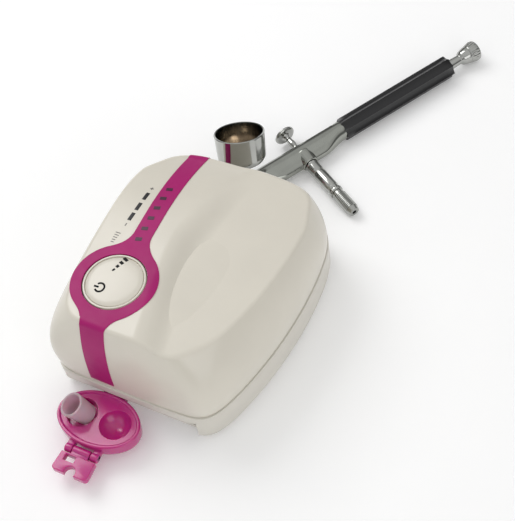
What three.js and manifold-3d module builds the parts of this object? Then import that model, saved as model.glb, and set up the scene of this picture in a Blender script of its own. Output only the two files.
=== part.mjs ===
// A small diaphragm compressor for airbrushes, with its pull-out holder and its airbrush parked behind it.
// Millimetres. +Z is up, +Y is the rear, +X is the right-hand side. The design origin lies under the middle of the
// compressor. At the very end the whole group is moved: its own footprint centre then lies at (0, 0, 0).
import * as THREE from "three";
import { mergeVertices } from "three/addons/utils/BufferGeometryUtils.js";
import Module from "manifold-3d";

const wasm = await Module();
wasm.setup();

// ---------------------------------------------------------------- driving dimensions
const CASE_FRONT_Y = -60;
const CASE_REAR_Y = 54;
const CASE_FRONT_HALF_WIDTH = 37.9; // at the front corners
const CASE_LEFT_BULGE = 3; // how much further out the left side is at its widest place
const CASE_RIGHT_BULGE = 12.8;
const CASE_WIDEST_Y = 9.5;
const FRONT_BOW = 1; // the front face is slightly convex
const FRONT_CORNER_POWER = 12; // high power: tight front corners
const REAR_LEFT_CORNER_POWER = 3.9; // low power: a round rear corner
const REAR_RIGHT_CORNER_POWER = 6.6;
const WALL_BELLY = 2; // the side walls swell outwards between the seam and the top edge
const FOOT_HEIGHT = 2.5;
const SEAM_Z = 17.8; // where the two casings meet
const WALL = 2.2;
const GAP = 0.3; // clearance between neighbouring pieces
const LIP = 0.7; // the base stands proud of the upper shell at the seam

const LEFT_TOP_Z = 57.4; // crest of the raised left side, over the button
const LEFT_TOP_CREST_Y = -30;
const LEFT_TOP_FALL = 0.0011; // per mm of distance from the crest, squared
const LEFT_TOP_LEAN = 0.05; // the raised side drops towards the left
const RIGHT_TOP_Z = 51.5; // at the front edge
const RIGHT_TOP_FALL = 0.04; // per mm towards the rear
const RIGHT_TOP_LEAN = 0.07; // per mm towards the right
const REAR_FALL_Y = 5; // behind here the top falls away faster
const LEFT_REAR_FALL = 0.0035; // extra, per mm squared
const RIGHT_REAR_FALL = 0.0012;
const STEP_HALF_WIDTH = 5;
const EDGE_ROUND = 2.6;

const BAND_X = -14; // centre line of the trim band and of the button
const BUTTON_Y = -33;
const BUTTON_RADIUS = 13.6;
const RING_INNER_RADIUS = 14.1;
const RING_OUTER_RADIUS = 18.6;
const BAND_FRONT_WIDTH = 11.5;
const BAND_REAR_WIDTH = 8.6;
const BAND_THICKNESS = 0.9;
const LED_X = -24.5;
const LED_YS = [0.2, 6.4, 13];

const HOLDER_X = -9;
const HOLDER_Y = -74;
const HOLDER_TOP_Z = 12.2;
const HOLDER_HALF_LENGTH = 19.5; // along X
const HOLDER_HALF_WIDTH = 13; // along Y
const POCKET_HALF_WIDTH = 20.5;
const POCKET_END_Y = -3;
const POCKET_FLOOR_Z = 4.1;
const POCKET_TOP_Z = 13;

const MOTOR_X = 20;
const SHAFT_Z = 28.5;
const MOTOR_RADIUS = 12.2;
const MOTOR_FRONT_Y = 14;
const MOTOR_REAR_Y = 44;
const CRANK_Y = 6.5; // middle of the eccentric and of the pump
const CRANK_THROW = 1.4;
const PUMP_RADIUS = 12.5;

const BRUSH_FOOT = [-7.6, 65.6]; // where the cup's axis meets the airbrush's own axis, in plan
const BRUSH_YAW = 60; // degrees from +X to the direction of its tail
const GRIP_RADIUS = 5.8;
const VALVE_RADIUS = 3.3;
const VALVE_REACH = 43; // from the airbrush's axis to the end of the air valve
const TRIGGER_X = 33; // along the airbrush, from the cup's axis
const GRIP_START = 57;
const GRIP_END = 124;
const TAIL_END = 142;
const CUP_DIRECTION = [0.215, -0.851, 0.389]; // in the airbrush's own axes

// ---------------------------------------------------------------- materials
const paint = (color, roughness, metalness = 0, extra = {}) =>
  new THREE.MeshStandardMaterial({ color, roughness, metalness, ...extra });
const pearl = paint(0xe6e1d3, 0.35);
const pearlBase = paint(0xd9d5c8, 0.42);
const magenta = paint(0xa8308a, 0.3);
const rubber = paint(0x2a2a2c, 0.85);
const darkLens = paint(0x17171a, 0.2);
const clearSilicone = paint(0xe9dfe8, 0.3, 0, { transparent: true, opacity: 0.55 });
const board = paint(0x1f6b3a, 0.55);
const blackPlastic = paint(0x1c1c1e, 0.5);
const steel = paint(0xb4b6b8, 0.35, 0.9);
const aluminium = paint(0xa9acae, 0.45, 0.8);
const brass = paint(0xc2a253, 0.35, 0.9);
const chrome = paint(0xd4d4d2, 0.12, 1);
const gripBlack = paint(0x141416, 0.3, 0.4);
const felt = paint(0xe8e6de, 0.95);

// ---------------------------------------------------------------- joining and cutting
function toSolid(geometry) {
  const bare = geometry.index ? geometry.toNonIndexed() : geometry.clone();
  for (const name of Object.keys(bare.attributes)) {
    if (name !== "position") bare.deleteAttribute(name);
  }
  const merged = mergeVertices(bare, 1e-4);
  return new wasm.Manifold(
    new wasm.Mesh({
      numProp: 3,
      vertProperties: new Float32Array(merged.attributes.position.array),
      triVerts: new Uint32Array(merged.index.array),
    }),
  );
}

function toGeometry(solid) {
  const mesh = solid.getMesh();
  const geometry = new THREE.BufferGeometry();
  geometry.setAttribute("position", new THREE.BufferAttribute(new Float32Array(mesh.vertProperties), 3));
  geometry.setIndex(new THREE.BufferAttribute(new Uint32Array(mesh.triVerts), 1));
  geometry.computeVertexNormals();
  return geometry;
}

const join = (...geometries) => toGeometry(geometries.map(toSolid).reduce((a, b) => a.add(b)));
const cut = (first, ...tools) => toGeometry(tools.map(toSolid).reduce((a, b) => a.subtract(b), toSolid(first)));
const common = (first, ...others) =>
  toGeometry(others.map(toSolid).reduce((a, b) => a.intersect(b), toSolid(first)));

// ---------------------------------------------------------------- simple shapes
const box = (x0, x1, y0, y1, z0, z1) =>
  new THREE.BoxGeometry(x1 - x0, y1 - y0, z1 - z0).translate((x0 + x1) / 2, (y0 + y1) / 2, (z0 + z1) / 2);

// An upright cylinder or cone between two heights.
function post(x, y, z0, z1, radius, topRadius = radius, sides = 20) {
  const geometry = new THREE.CylinderGeometry(topRadius, radius, z1 - z0, sides);
  return geometry.rotateX(Math.PI / 2).translate(x, y, (z0 + z1) / 2);
}

// A cylinder along Y.
function barrelY(x, z, y0, y1, radius, sides = 24) {
  return new THREE.CylinderGeometry(radius, radius, y1 - y0, sides).translate(x, (y0 + y1) / 2, z);
}

// A cylinder along X.
function barrelX(y, z, x0, x1, radius, sides = 24) {
  const geometry = new THREE.CylinderGeometry(radius, radius, x1 - x0, sides);
  return geometry.rotateZ(Math.PI / 2).translate((x0 + x1) / 2, y, z);
}

// A turned piece: pairs of position along the axis and radius, closed on the axis, turned about +X.
function turned(profile, sides = 24) {
  const points = profile.map(([along, radius]) => new THREE.Vector2(radius, along));
  return new THREE.LatheGeometry(points, sides).rotateZ(-Math.PI / 2);
}

// A turned ring or tube: a closed profile that stays off the axis, turned about +X.
function turnedRing(profile, sides = 24) {
  return turned([...profile, profile[0]], sides);
}

function extruded(shape, z0, z1, curveSegments = 6) {
  const geometry = new THREE.ExtrudeGeometry(shape, { depth: z1 - z0, bevelEnabled: false, curveSegments });
  return geometry.translate(0, 0, z0);
}

// A coil spring along +X: a round wire swept along a helix.
function coilSpring(x0, x1, coilRadius, wireRadius, turns) {
  class Helix extends THREE.Curve {
    getPoint(t, target = new THREE.Vector3()) {
      const angle = 2 * Math.PI * turns * t;
      return target.set(x0 + (x1 - x0) * t, coilRadius * Math.cos(angle), coilRadius * Math.sin(angle));
    }
  }
  const wire = new THREE.Shape().absarc(0, 0, wireRadius, 0, 2 * Math.PI);
  return new THREE.ExtrudeGeometry(wire, { steps: turns * 8, extrudePath: new Helix(), curveSegments: 2 });
}

// ---------------------------------------------------------------- the scene graph
const group = new THREE.Group();

function piece(name, geometry, material, parent = group) {
  const mesh = new THREE.Mesh(geometry, material);
  mesh.name = name;
  parent.add(mesh);
  return mesh;
}

// ---------------------------------------------------------------- the case's own form
function halfWidth(y, bulge) {
  const t = (y - CASE_WIDEST_Y) / (CASE_WIDEST_Y - CASE_FRONT_Y);
  return CASE_FRONT_HALF_WIDTH + bulge * (1 - t * t);
}

// A point of the plan outline, in the direction of a plan angle: straight front, bulged sides, round rear corners.
function outlinePoint(angle) {
  const c = Math.cos(angle);
  const s = Math.sin(angle);
  const reach = Math.max(Math.abs(c), Math.abs(s));
  const u = c / reach;
  const v = s / reach;
  const rearPower = c < 0 ? REAR_LEFT_CORNER_POWER : REAR_RIGHT_CORNER_POWER;
  const power = s < 0 ? FRONT_CORNER_POWER : rearPower;
  const round = (Math.abs(u) ** power + Math.abs(v) ** power) ** (-1 / power);
  const y = s < 0 ? -round * v * CASE_FRONT_Y : round * v * CASE_REAR_Y;
  const bow = s < 0 ? FRONT_BOW * (1 - (round * u) ** 2) * (round * v) ** 6 : 0;
  const bulge = c < 0 ? CASE_LEFT_BULGE : CASE_RIGHT_BULGE;
  return new THREE.Vector2(round * u * halfWidth(y, bulge), y - bow);
}

// The same outline moved inwards by an inset (outwards when it is negative).
function insetPoint(angle, inset) {
  const step = 0.01;
  const along = outlinePoint(angle + step).sub(outlinePoint(angle - step)).normalize();
  return outlinePoint(angle).add(new THREE.Vector2(-along.y, along.x).multiplyScalar(inset));
}

// How much the plan angle points at a side wall: 0 in the middle of the front and of the rear, 1 along a side.
function sideness(angle) {
  const p = outlinePoint(angle);
  const rearness = THREE.MathUtils.smoothstep(p.y, 30, 52);
  return THREE.MathUtils.smoothstep(Math.abs(p.x), 20, 40) * (1 - rearness);
}

// How far the walls lean in from the seam to the top edge. The side walls lean more at the front than at the rear.
function wallLean(angle) {
  const p = outlinePoint(angle);
  const rearness = THREE.MathUtils.smoothstep(p.y, 30, 52);
  const side = sideness(angle);
  const alongSide = THREE.MathUtils.clamp((p.y + 60) / 100, 0, 1);
  const sideLean = p.x < 0 ? 6.9 - 4.4 * alongSide : 8 - 4.5 * alongSide;
  return 4.8 * (1 - rearness) * (1 - side) + sideLean * side + 3.4 * rearness;
}

// How far a wall stands inside the outline, from the seam (share 0) to the start of the rounded top edge (share 1).
function wallInset(angle, share) {
  const belly = WALL_BELLY * sideness(angle) * 4 * share * (1 - share);
  return wallLean(angle) * share ** 2.6 - belly;
}

// Where the raised left side steps down to the right side.
function stepX(y) {
  return y < 0 ? 3.4 + 9.5 * (-y / 53) ** 1.2 : 3.4 + (4.4 * y) / 43;
}

function topZ(x, y) {
  const behind = Math.max(0, y - REAR_FALL_Y) ** 2;
  const leftFall = LEFT_TOP_FALL * (y - LEFT_TOP_CREST_Y) ** 2 + LEFT_REAR_FALL * behind;
  const rightFall = RIGHT_TOP_FALL * (y + 55) + RIGHT_REAR_FALL * behind;
  const left = LEFT_TOP_Z - leftFall + LEFT_TOP_LEAN * (x - BAND_X);
  const right = RIGHT_TOP_Z - rightFall + RIGHT_TOP_LEAN * (32 - x);
  const centre = stepX(y);
  const blend = THREE.MathUtils.smoothstep(x, centre - STEP_HALF_WIDTH, centre + STEP_HALF_WIDTH);
  return left + (right - left) * blend;
}

// The case's solid form from the seam up, grown (or shrunk) by an offset: a subdivided box whose points are moved
// onto the form. Its side faces carry the leaning walls and its top face the two-level top.
function upperForm(offset, bottomZ, across = 12, along = 14) {
  const geometry = new THREE.BoxGeometry(2, 2, 1, across, along, 4).toNonIndexed();
  const bare = new THREE.BufferGeometry().setAttribute("position", geometry.getAttribute("position"));
  const position = bare.getAttribute("position");
  const wallStops = [0, 0.45, 0.86, 0.955, 1];
  for (let i = 0; i < position.count; i++) {
    const u = position.getX(i);
    const v = position.getY(i);
    const h = position.getZ(i) + 0.5;
    const level = Math.max(Math.abs(u), Math.abs(v));
    const angle = Math.atan2(v, u);
    const lean = wallLean(angle);
    const edge = insetPoint(angle, lean + EDGE_ROUND - offset);
    const edgeZ = topZ(edge.x, edge.y) + offset;
    if (level < 0.9999 && h > 0.5) {
      const x = edge.x * level;
      const y = edge.y * level;
      position.setXYZ(i, x, y, topZ(x, y) + offset);
    } else if (level < 0.9999) {
      const foot = insetPoint(angle, -offset);
      position.setXYZ(i, foot.x * level, foot.y * level, bottomZ);
    } else {
      const stop = wallStops[Math.round(h * 4)];
      const top = stop === 1;
      const leaning = wallInset(angle, Math.min(1, stop / 0.95)) + (stop > 0.9 ? 0.5 : 0);
      const p = insetPoint(angle, (top ? lean + EDGE_ROUND : leaning) - offset);
      position.setXYZ(i, p.x, p.y, top ? edgeZ : bottomZ + (edgeZ - bottomZ) * stop);
    }
  }
  return bare;
}

// A slab with the case's plan outline, grown by an offset.
function outlineSlab(z0, z1, offset, sides = 80) {
  const points = [];
  for (let i = 0; i < sides; i++) points.push(insetPoint((2 * Math.PI * i) / sides, -offset));
  return extruded(new THREE.Shape(points), z0, z1);
}

// ---------------------------------------------------------------- upper shell, trim band, button, lights
const buttonSurfaceZ = topZ(BAND_X, BUTTON_Y);
const buttonNormal = new THREE.Vector3(
  topZ(BAND_X - 1, BUTTON_Y) - topZ(BAND_X + 1, BUTTON_Y),
  topZ(BAND_X, BUTTON_Y - 1) - topZ(BAND_X, BUTTON_Y + 1),
  2,
).normalize();
const buttonTilt = new THREE.Quaternion().setFromUnitVectors(new THREE.Vector3(0, 0, 1), buttonNormal);

// Moves a shape made round the button's own centre onto the case.
function onButton(geometry) {
  return geometry.applyQuaternion(buttonTilt).translate(BAND_X, BUTTON_Y, buttonSurfaceZ);
}

// The band's outline in plan: a strap that widens into a ring round the button, with a fillet at each junction.
function bandPlan(grow) {
  const radius = RING_OUTER_RADIUS + grow;
  const flare = THREE.MathUtils.degToRad(35);
  const shape = new THREE.Shape();
  const junction = (side, end) => {
    const width = (end < 0 ? BAND_FRONT_WIDTH : BAND_REAR_WIDTH) / 2 + grow;
    const touch = [BAND_X + side * radius * Math.sin(flare), BUTTON_Y + end * radius * Math.cos(flare)];
    const reach = (radius * Math.sin(flare) - width) / Math.cos(flare);
    const cornerY = BUTTON_Y + end * (radius * Math.cos(flare) + reach * Math.sin(flare));
    const edgeX = BAND_X + side * width;
    return { touch, corner: [edgeX, cornerY], start: [edgeX, cornerY + end * 6] };
  };
  const frontLeft = junction(-1, -1);
  const rearLeft = junction(-1, 1);
  const rearRight = junction(1, 1);
  const frontRight = junction(1, -1);
  shape.moveTo(frontLeft.start[0], -75);
  shape.lineTo(...frontLeft.start);
  shape.quadraticCurveTo(...frontLeft.corner, ...frontLeft.touch);
  shape.absarc(BAND_X, BUTTON_Y, radius, -Math.PI / 2 - flare, Math.PI / 2 + flare, true);
  shape.quadraticCurveTo(...rearLeft.corner, ...rearLeft.start);
  shape.lineTo(rearLeft.start[0], 75);
  shape.lineTo(rearRight.start[0], 75);
  shape.lineTo(...rearRight.start);
  shape.quadraticCurveTo(...rearRight.corner, ...rearRight.touch);
  shape.absarc(BAND_X, BUTTON_Y, radius, Math.PI / 2 - flare, -Math.PI / 2 + flare, true);
  shape.quadraticCurveTo(...frontRight.corner, ...frontRight.start);
  shape.lineTo(frontRight.start[0], -75);
  return shape;
}

const bandBottomZ = SEAM_Z + 2.4;
const bandSink = BAND_THICKNESS - 0.25; // it stands 0.25 proud of the shell
const bandSpace = common(
  extruded(bandPlan(GAP), bandBottomZ - GAP, 80),
  cut(upperForm(2, SEAM_Z), upperForm(-bandSink - GAP, SEAM_Z - 1)),
);
const ledSlot = (y, length, width, z0, z1) => {
  const slot = new THREE.Shape();
  slot.absarc(0, length / 2 - width / 2, width / 2, 0, Math.PI);
  slot.absarc(0, -length / 2 + width / 2, width / 2, Math.PI, 2 * Math.PI);
  return extruded(slot, z0, z1, 4).translate(LED_X, y, 0);
};
const SCREW_PLACES = {
  front_left: [-35, -44],
  front_right: [35.3, -46],
  rear_left: [-30.5, 41],
  rear_right: [37.5, 44],
};
const screwBosses = Object.values(SCREW_PLACES).map(([x, y]) => post(x, y, SEAM_Z + GAP, 60, 3.1, 3.4, 14));
const boardPosts = [[-26, -14], [1.5, -45]].map(([x, y]) => post(x, y, 48.2, 60, 2, 2, 12));
const bossLimit = upperForm(-1, SEAM_Z - 1);
const shellBody = join(
  cut(upperForm(0, SEAM_Z), upperForm(-WALL, SEAM_Z - 1)),
  ...[...screwBosses, ...boardPosts].map((boss) => common(boss, bossLimit)),
);
piece(
  "upper_shell",
  cut(
    shellBody,
    bandSpace,
    onButton(post(0, 0, -8, 8, BUTTON_RADIUS + 0.5, BUTTON_RADIUS + 0.5, 28)),
    ...LED_YS.map((y) => ledSlot(y, 5, 2.4, 45, 65)),
    ...Object.values(SCREW_PLACES).map(([x, y]) => post(x, y, 10, 30, 1.8, 1.8, 12)),
  ),
  pearl,
);
piece(
  "trim_band",
  cut(
    common(
      extruded(bandPlan(0), bandBottomZ, 80),
      cut(upperForm(BAND_THICKNESS - bandSink, SEAM_Z), upperForm(-bandSink, SEAM_Z - 1)),
    ),
    onButton(post(0, 0, -8, 8, RING_INNER_RADIUS, RING_INNER_RADIUS, 28)),
  ),
  magenta,
);
const buttonProfile = [[-4.6, 0], [-4.6, 15.3], [-3.4, 15.3], [-3.4, BUTTON_RADIUS], [0.1, BUTTON_RADIUS],
  [0.7, BUTTON_RADIUS - 0.7], [1.1, 9], [1.3, 0]];
piece("mode_power_button", onButton(turned(buttonProfile, 28).rotateY(-Math.PI / 2)), pearl);
LED_YS.forEach((y, i) => {
  const top = topZ(LED_X, y);
  piece("light_lens_" + (i + 1), ledSlot(y, 4.4, 1.8, top - 3.2, top - 0.1), darkLens);
});

// ---------------------------------------------------------------- base tray, feet, screws
const floorTop = FOOT_HEIGHT + 2;
const baseRimZ = SEAM_Z - GAP;
const outletPlace = [-20.5, 11];
const jackPlace = [14, 11];
const pocketBlock = common(
  box(HOLDER_X - POCKET_HALF_WIDTH - 1.6, HOLDER_X + POCKET_HALF_WIDTH + 1.6, -70, POCKET_END_Y + 1.6,
    FOOT_HEIGHT, POCKET_TOP_Z + 1.4),
  outlineSlab(FOOT_HEIGHT, baseRimZ, 0),
);
const pocketLeft = HOLDER_X - POCKET_HALF_WIDTH;
const pocketRight = HOLDER_X + POCKET_HALF_WIDTH;
const pocket = box(pocketLeft, pocketRight, -75, POCKET_END_Y, POCKET_FLOOR_Z, POCKET_TOP_Z);
const screwTubes = Object.values(SCREW_PLACES).map(([x, y]) =>
  post(x, y, FOOT_HEIGHT + 0.5, baseRimZ - 0.5, 3.4, 3.4, 14),
);
const motorCradle = cut(
  box(MOTOR_X - 11, MOTOR_X + 11, MOTOR_FRONT_Y + 4, MOTOR_REAR_Y - 4, floorTop - 0.5, SHAFT_Z - 7),
  barrelY(MOTOR_X, SHAFT_Z, MOTOR_FRONT_Y, MOTOR_REAR_Y, MOTOR_RADIUS + GAP),
  box(MOTOR_X - 20, MOTOR_X + 20, MOTOR_FRONT_Y + 8, MOTOR_REAR_Y - 8, floorTop + 0.4, 40),
);
piece(
  "base_tray",
  cut(
    join(
      cut(outlineSlab(FOOT_HEIGHT, baseRimZ, LIP), outlineSlab(floorTop, baseRimZ + 5, -WALL)),
      pocketBlock,
      motorCradle,
      ...screwTubes,
    ),
    pocket,
    box(-31.5, 31.5, -75, -57.5, 0, POCKET_TOP_Z),
    ...Object.values(SCREW_PLACES).flatMap(([x, y]) => [
      post(x, y, 0, 30, 1.8, 1.8, 12),
      post(x, y, 0, FOOT_HEIGHT + 2.6, 2.9, 2.9, 14),
    ]),
    barrelY(outletPlace[0], outletPlace[1], 44, 64, 3.2, 16),
    box(jackPlace[0] - 4.8, jackPlace[0] + 4.8, 44, 64, jackPlace[1] - 4.3, jackPlace[1] + 4.3),
  ),
  pearlBase,
);
const FEET = { front_left: [-29, -50], front_right: [29, -50], rear_left: [-31, 31], rear_right: [33, 34] };
for (const [place, [x, y]] of Object.entries(FEET)) {
  piece("foot_" + place, post(x, y, 0, FOOT_HEIGHT - 0.02, 4.2, 4.6, 18), rubber);
}
for (const [place, [x, y]] of Object.entries(SCREW_PLACES)) {
  const profile = [[0, 0], [0, 2.5], [1.6, 2.5], [1.6, 1.5], [19, 1.5], [20, 0]];
  const screw = turned(profile, 12).rotateY(-Math.PI / 2).translate(x, y, FOOT_HEIGHT + 0.7);
  piece("case_screw_" + place, screw, steel);
}

// ---------------------------------------------------------------- control board and sockets
const boardZ = 46.3;
piece("control_board", box(-29, 4.5, -48.5, -10, boardZ, boardZ + 1.6), board);
for (const [name, y] of [["power_switch", BUTTON_Y - 8.5], ["mode_switch", BUTTON_Y + 8.5]]) {
  const top = buttonSurfaceZ - 5.35;
  const body = box(BAND_X - 3, BAND_X + 3, y - 3, y + 3, boardZ + 1.6 + 0.02, top - 1.2);
  piece(name, join(body, post(BAND_X, y, top - 1.4, top - 0.15, 1.7, 1.7, 14)), blackPlastic);
}
const jack = join(
  box(jackPlace[0] - 4.5, jackPlace[0] + 4.5, 42, 53.4, jackPlace[1] - 4, jackPlace[1] + 4),
  box(jackPlace[0] - 5.6, jackPlace[0] + 5.6, 40.6, 50.2, floorTop + 0.3, jackPlace[1] + 4.9),
);
const jackBore = barrelY(jackPlace[0], jackPlace[1], 44, 64, 3, 16);
const jackPin = barrelY(jackPlace[0], jackPlace[1], 43, 52, 0.9, 10);
piece("power_socket", join(cut(jack, jackBore), jackPin), blackPlastic);
const outletProfile = [[-9, 1.1], [-9, 2.1], [-7.4, 1.6], [-7, 2.3], [-5.8, 1.9], [-5.8, 4.6], [-4.7, 4.6],
  [-4.7, 2.9], [0.7, 2.9], [0.7, 4.6], [3, 4.6], [3, 3.3], [8.5, 3.3], [8.5, 1.1]];
piece(
  "air_outlet",
  turnedRing(outletProfile, 16).rotateZ(Math.PI / 2).translate(outletPlace[0], CASE_REAR_Y - 0.15, outletPlace[1]),
  brass,
);

// ---------------------------------------------------------------- motor, crank and diaphragm pump
const motorCan = join(
  barrelY(MOTOR_X, SHAFT_Z, MOTOR_FRONT_Y, MOTOR_REAR_Y, MOTOR_RADIUS, 28),
  barrelY(MOTOR_X, SHAFT_Z, MOTOR_FRONT_Y - 1.5, MOTOR_FRONT_Y + 1, 4, 16),
);
piece("motor", cut(motorCan, barrelY(MOTOR_X, SHAFT_Z, 5, 30, 1.3, 12)), steel);
piece("motor_shaft", barrelY(MOTOR_X, SHAFT_Z, CRANK_Y - 2.5, 28, 1, 12), steel);
const throwX = MOTOR_X - CRANK_THROW;
piece(
  "eccentric",
  cut(
    join(barrelY(throwX, SHAFT_Z, CRANK_Y - 2.5, CRANK_Y + 2.5, 4, 20),
      barrelY(MOTOR_X, SHAFT_Z, CRANK_Y + 2.4, CRANK_Y + 4.5, 5.2, 20)),
    barrelY(MOTOR_X, SHAFT_Z, 0, 20, 1.3, 12),
  ),
  brass,
);
const rodTip = -0.5;
piece(
  "connecting_rod",
  cut(
    join(
      barrelY(throwX, SHAFT_Z, CRANK_Y - 2.2, CRANK_Y + 2.1, 6.6, 20),
      box(rodTip, throwX - 4, CRANK_Y - 1.6, CRANK_Y + 1.6, SHAFT_Z - 1.6, SHAFT_Z + 1.6),
      barrelX(CRANK_Y, SHAFT_Z, rodTip - 1.2, rodTip, 4.5, 16),
    ),
    barrelY(throwX, SHAFT_Z, CRANK_Y - 5, CRANK_Y + 5, 4.3, 20),
  ),
  blackPlastic,
);
const placeAcross = (geometry) => geometry.translate(0, CRANK_Y, SHAFT_Z);
const pumpFoot = box(-9.5, 2.5, CRANK_Y - 8, CRANK_Y + 8, POCKET_TOP_Z + 1.8, SHAFT_Z - 11);
piece(
  "pump_body",
  join(
    placeAcross(turnedRing([[-9.5, 9], [-9.5, PUMP_RADIUS], [2.5, PUMP_RADIUS], [2.5, 9]], 24)),
    cut(pumpFoot, barrelX(CRANK_Y, SHAFT_Z, -12, 6, 9.6, 24)),
  ),
  blackPlastic,
);
const diaphragmProfile = [[-10.9, 0], [-10.9, 12], [-9.8, 12], [-9.8, 8.5], [-8, 7], [-8, 5], [-4.4, 4.4], [-4.4, 0]];
piece("diaphragm", placeAcross(turned(diaphragmProfile, 24)), rubber);
piece(
  "valve_plate",
  placeAcross(turned([[-13.2, 0], [-13.2, 12], [-11.2, 12], [-11.2, 0]], 24)),
  aluminium,
);
const headProfile = [[-20, 0], [-20, 10], [-18.5, PUMP_RADIUS], [-13.5, PUMP_RADIUS], [-13.5, 0]];
piece(
  "pump_head",
  cut(
    join(
      placeAcross(turned(headProfile, 24)),
      barrelY(-16.5, SHAFT_Z, CRANK_Y + 8, CRANK_Y + 19, 1.7, 12),
      post(-16.5, CRANK_Y, SHAFT_Z + 8, SHAFT_Z + 14.5, 2.2, 2.2, 12),
    ),
    barrelY(-16.5, SHAFT_Z, CRANK_Y + 10, CRANK_Y + 25, 0.8, 10),
  ),
  blackPlastic,
);
piece("inlet_filter", post(-16.5, CRANK_Y, SHAFT_Z + 14.8, SHAFT_Z + 18.6, 4, 4, 16), felt);
const tubePlaces = [
  [-16.5, 26, SHAFT_Z],
  [-16.8, 30, SHAFT_Z - 0.5],
  [-19, 34, SHAFT_Z - 6],
  [-20.2, 38.5, 15],
  [-20.5, 41.8, 11.3],
  [-20.5, 44, 11],
];
const tubeRoute = new THREE.CatmullRomCurve3(tubePlaces.map((place) => new THREE.Vector3(...place)));
const tubeWall = new THREE.Shape().absarc(0, 0, 2.4, 0, 2 * Math.PI);
piece(
  "air_tube",
  new THREE.ExtrudeGeometry(tubeWall, { steps: 16, extrudePath: tubeRoute, curveSegments: 5 }),
  clearSilicone,
);

// ---------------------------------------------------------------- pull-out holder
const holderBottomZ = 5.6;
const leftWellX = HOLDER_X - 8.4;
const rightWellX = HOLDER_X + 8;
const oval = (grow, z0, z1) => {
  const shape = new THREE.Shape();
  shape.absellipse(HOLDER_X, HOLDER_Y, HOLDER_HALF_LENGTH + grow, HOLDER_HALF_WIDTH + grow, 0, 2 * Math.PI);
  return extruded(shape, z0, z1, 20);
};
const bowl = new THREE.SphereGeometry(7.2, 20, 12).translate(rightWellX, HOLDER_Y + 0.5, HOLDER_TOP_Z + 1.2);
const forkHinge = [HOLDER_X, HOLDER_Y - HOLDER_HALF_WIDTH - 2.4, 8];
const knuckle = (x0, x1) =>
  cut(
    join(
      barrelX(forkHinge[1], forkHinge[2], x0, x1, 2, 12),
      box(x0, x1, forkHinge[1], HOLDER_Y - 10, 6.6, 9.4),
    ),
    barrelX(forkHinge[1], forkHinge[2], x0 - 1, x1 + 1, 0.9, 10),
  );
piece(
  "holder",
  cut(
    join(
      oval(0, holderBottomZ, HOLDER_TOP_Z - 0.8),
      cut(oval(-0.3, HOLDER_TOP_Z - 1, HOLDER_TOP_Z), oval(-2, HOLDER_TOP_Z - 2, HOLDER_TOP_Z + 1)),
      box(HOLDER_X - 5.5, HOLDER_X + 5.5, HOLDER_Y + 10, -48, holderBottomZ + 0.4, holderBottomZ + 4.6),
      box(HOLDER_X - 19.5, HOLDER_X + 19.5, -54, -46, holderBottomZ, holderBottomZ + 3),
      knuckle(HOLDER_X - 8, HOLDER_X - 4.6),
      knuckle(HOLDER_X + 4.6, HOLDER_X + 8),
    ),
    bowl,
    post(leftWellX, HOLDER_Y + 0.4, holderBottomZ + 1.4, 20, 6.9, 6.9, 20),
  ),
  magenta,
);
piece("fork_pin", barrelX(forkHinge[1], forkHinge[2], HOLDER_X - 8, HOLDER_X + 8, 0.6, 10), steel);
const fork = new THREE.Shape();
const forkReach = forkHinge[1] - 11.5;
fork.moveTo(HOLDER_X - 8.6, forkHinge[1] - 2.6);
fork.lineTo(HOLDER_X - 8.6, forkReach + 1.5);
fork.quadraticCurveTo(HOLDER_X - 8.6, forkReach, HOLDER_X - 7, forkReach);
fork.lineTo(HOLDER_X - 2.6, forkReach);
fork.absarc(HOLDER_X, forkReach + 1.2, 2.6, Math.PI, 0, true);
fork.lineTo(HOLDER_X + 7, forkReach);
fork.quadraticCurveTo(HOLDER_X + 8.6, forkReach, HOLDER_X + 8.6, forkReach + 1.5);
fork.lineTo(HOLDER_X + 8.6, forkHinge[1] - 2.6);
const forkWindow = box(HOLDER_X - 5.6, HOLDER_X - 0.6, forkHinge[1] - 6.2, forkHinge[1] - 3.4, 0, 20);
piece(
  "holder_fork",
  cut(
    join(
      extruded(fork, 6.2, 9.6, 6),
      barrelX(forkHinge[1], forkHinge[2], HOLDER_X - 4.2, HOLDER_X + 4.2, 2, 12),
      box(HOLDER_X - 4.2, HOLDER_X + 4.2, forkHinge[1] - 3, forkHinge[1], 6.6, 9.4),
    ),
    forkWindow,
    barrelX(forkHinge[1], forkHinge[2], HOLDER_X - 6, HOLDER_X + 6, 0.9, 10),
  ),
  magenta,
);
const sleeve = turnedRing([[0, 3.6], [0, 4.6], [11.5, 5.6], [11.5, 4.7]], 20);
const sleeveAim = new THREE.Quaternion().setFromUnitVectors(
  new THREE.Vector3(1, 0, 0),
  new THREE.Vector3(-0.35, -0.22, 0.91).normalize(),
);
sleeve.applyQuaternion(sleeveAim).translate(leftWellX + 1.6, HOLDER_Y + 1, 9.2);
piece("silicone_sleeve", sleeve, clearSilicone);

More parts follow.
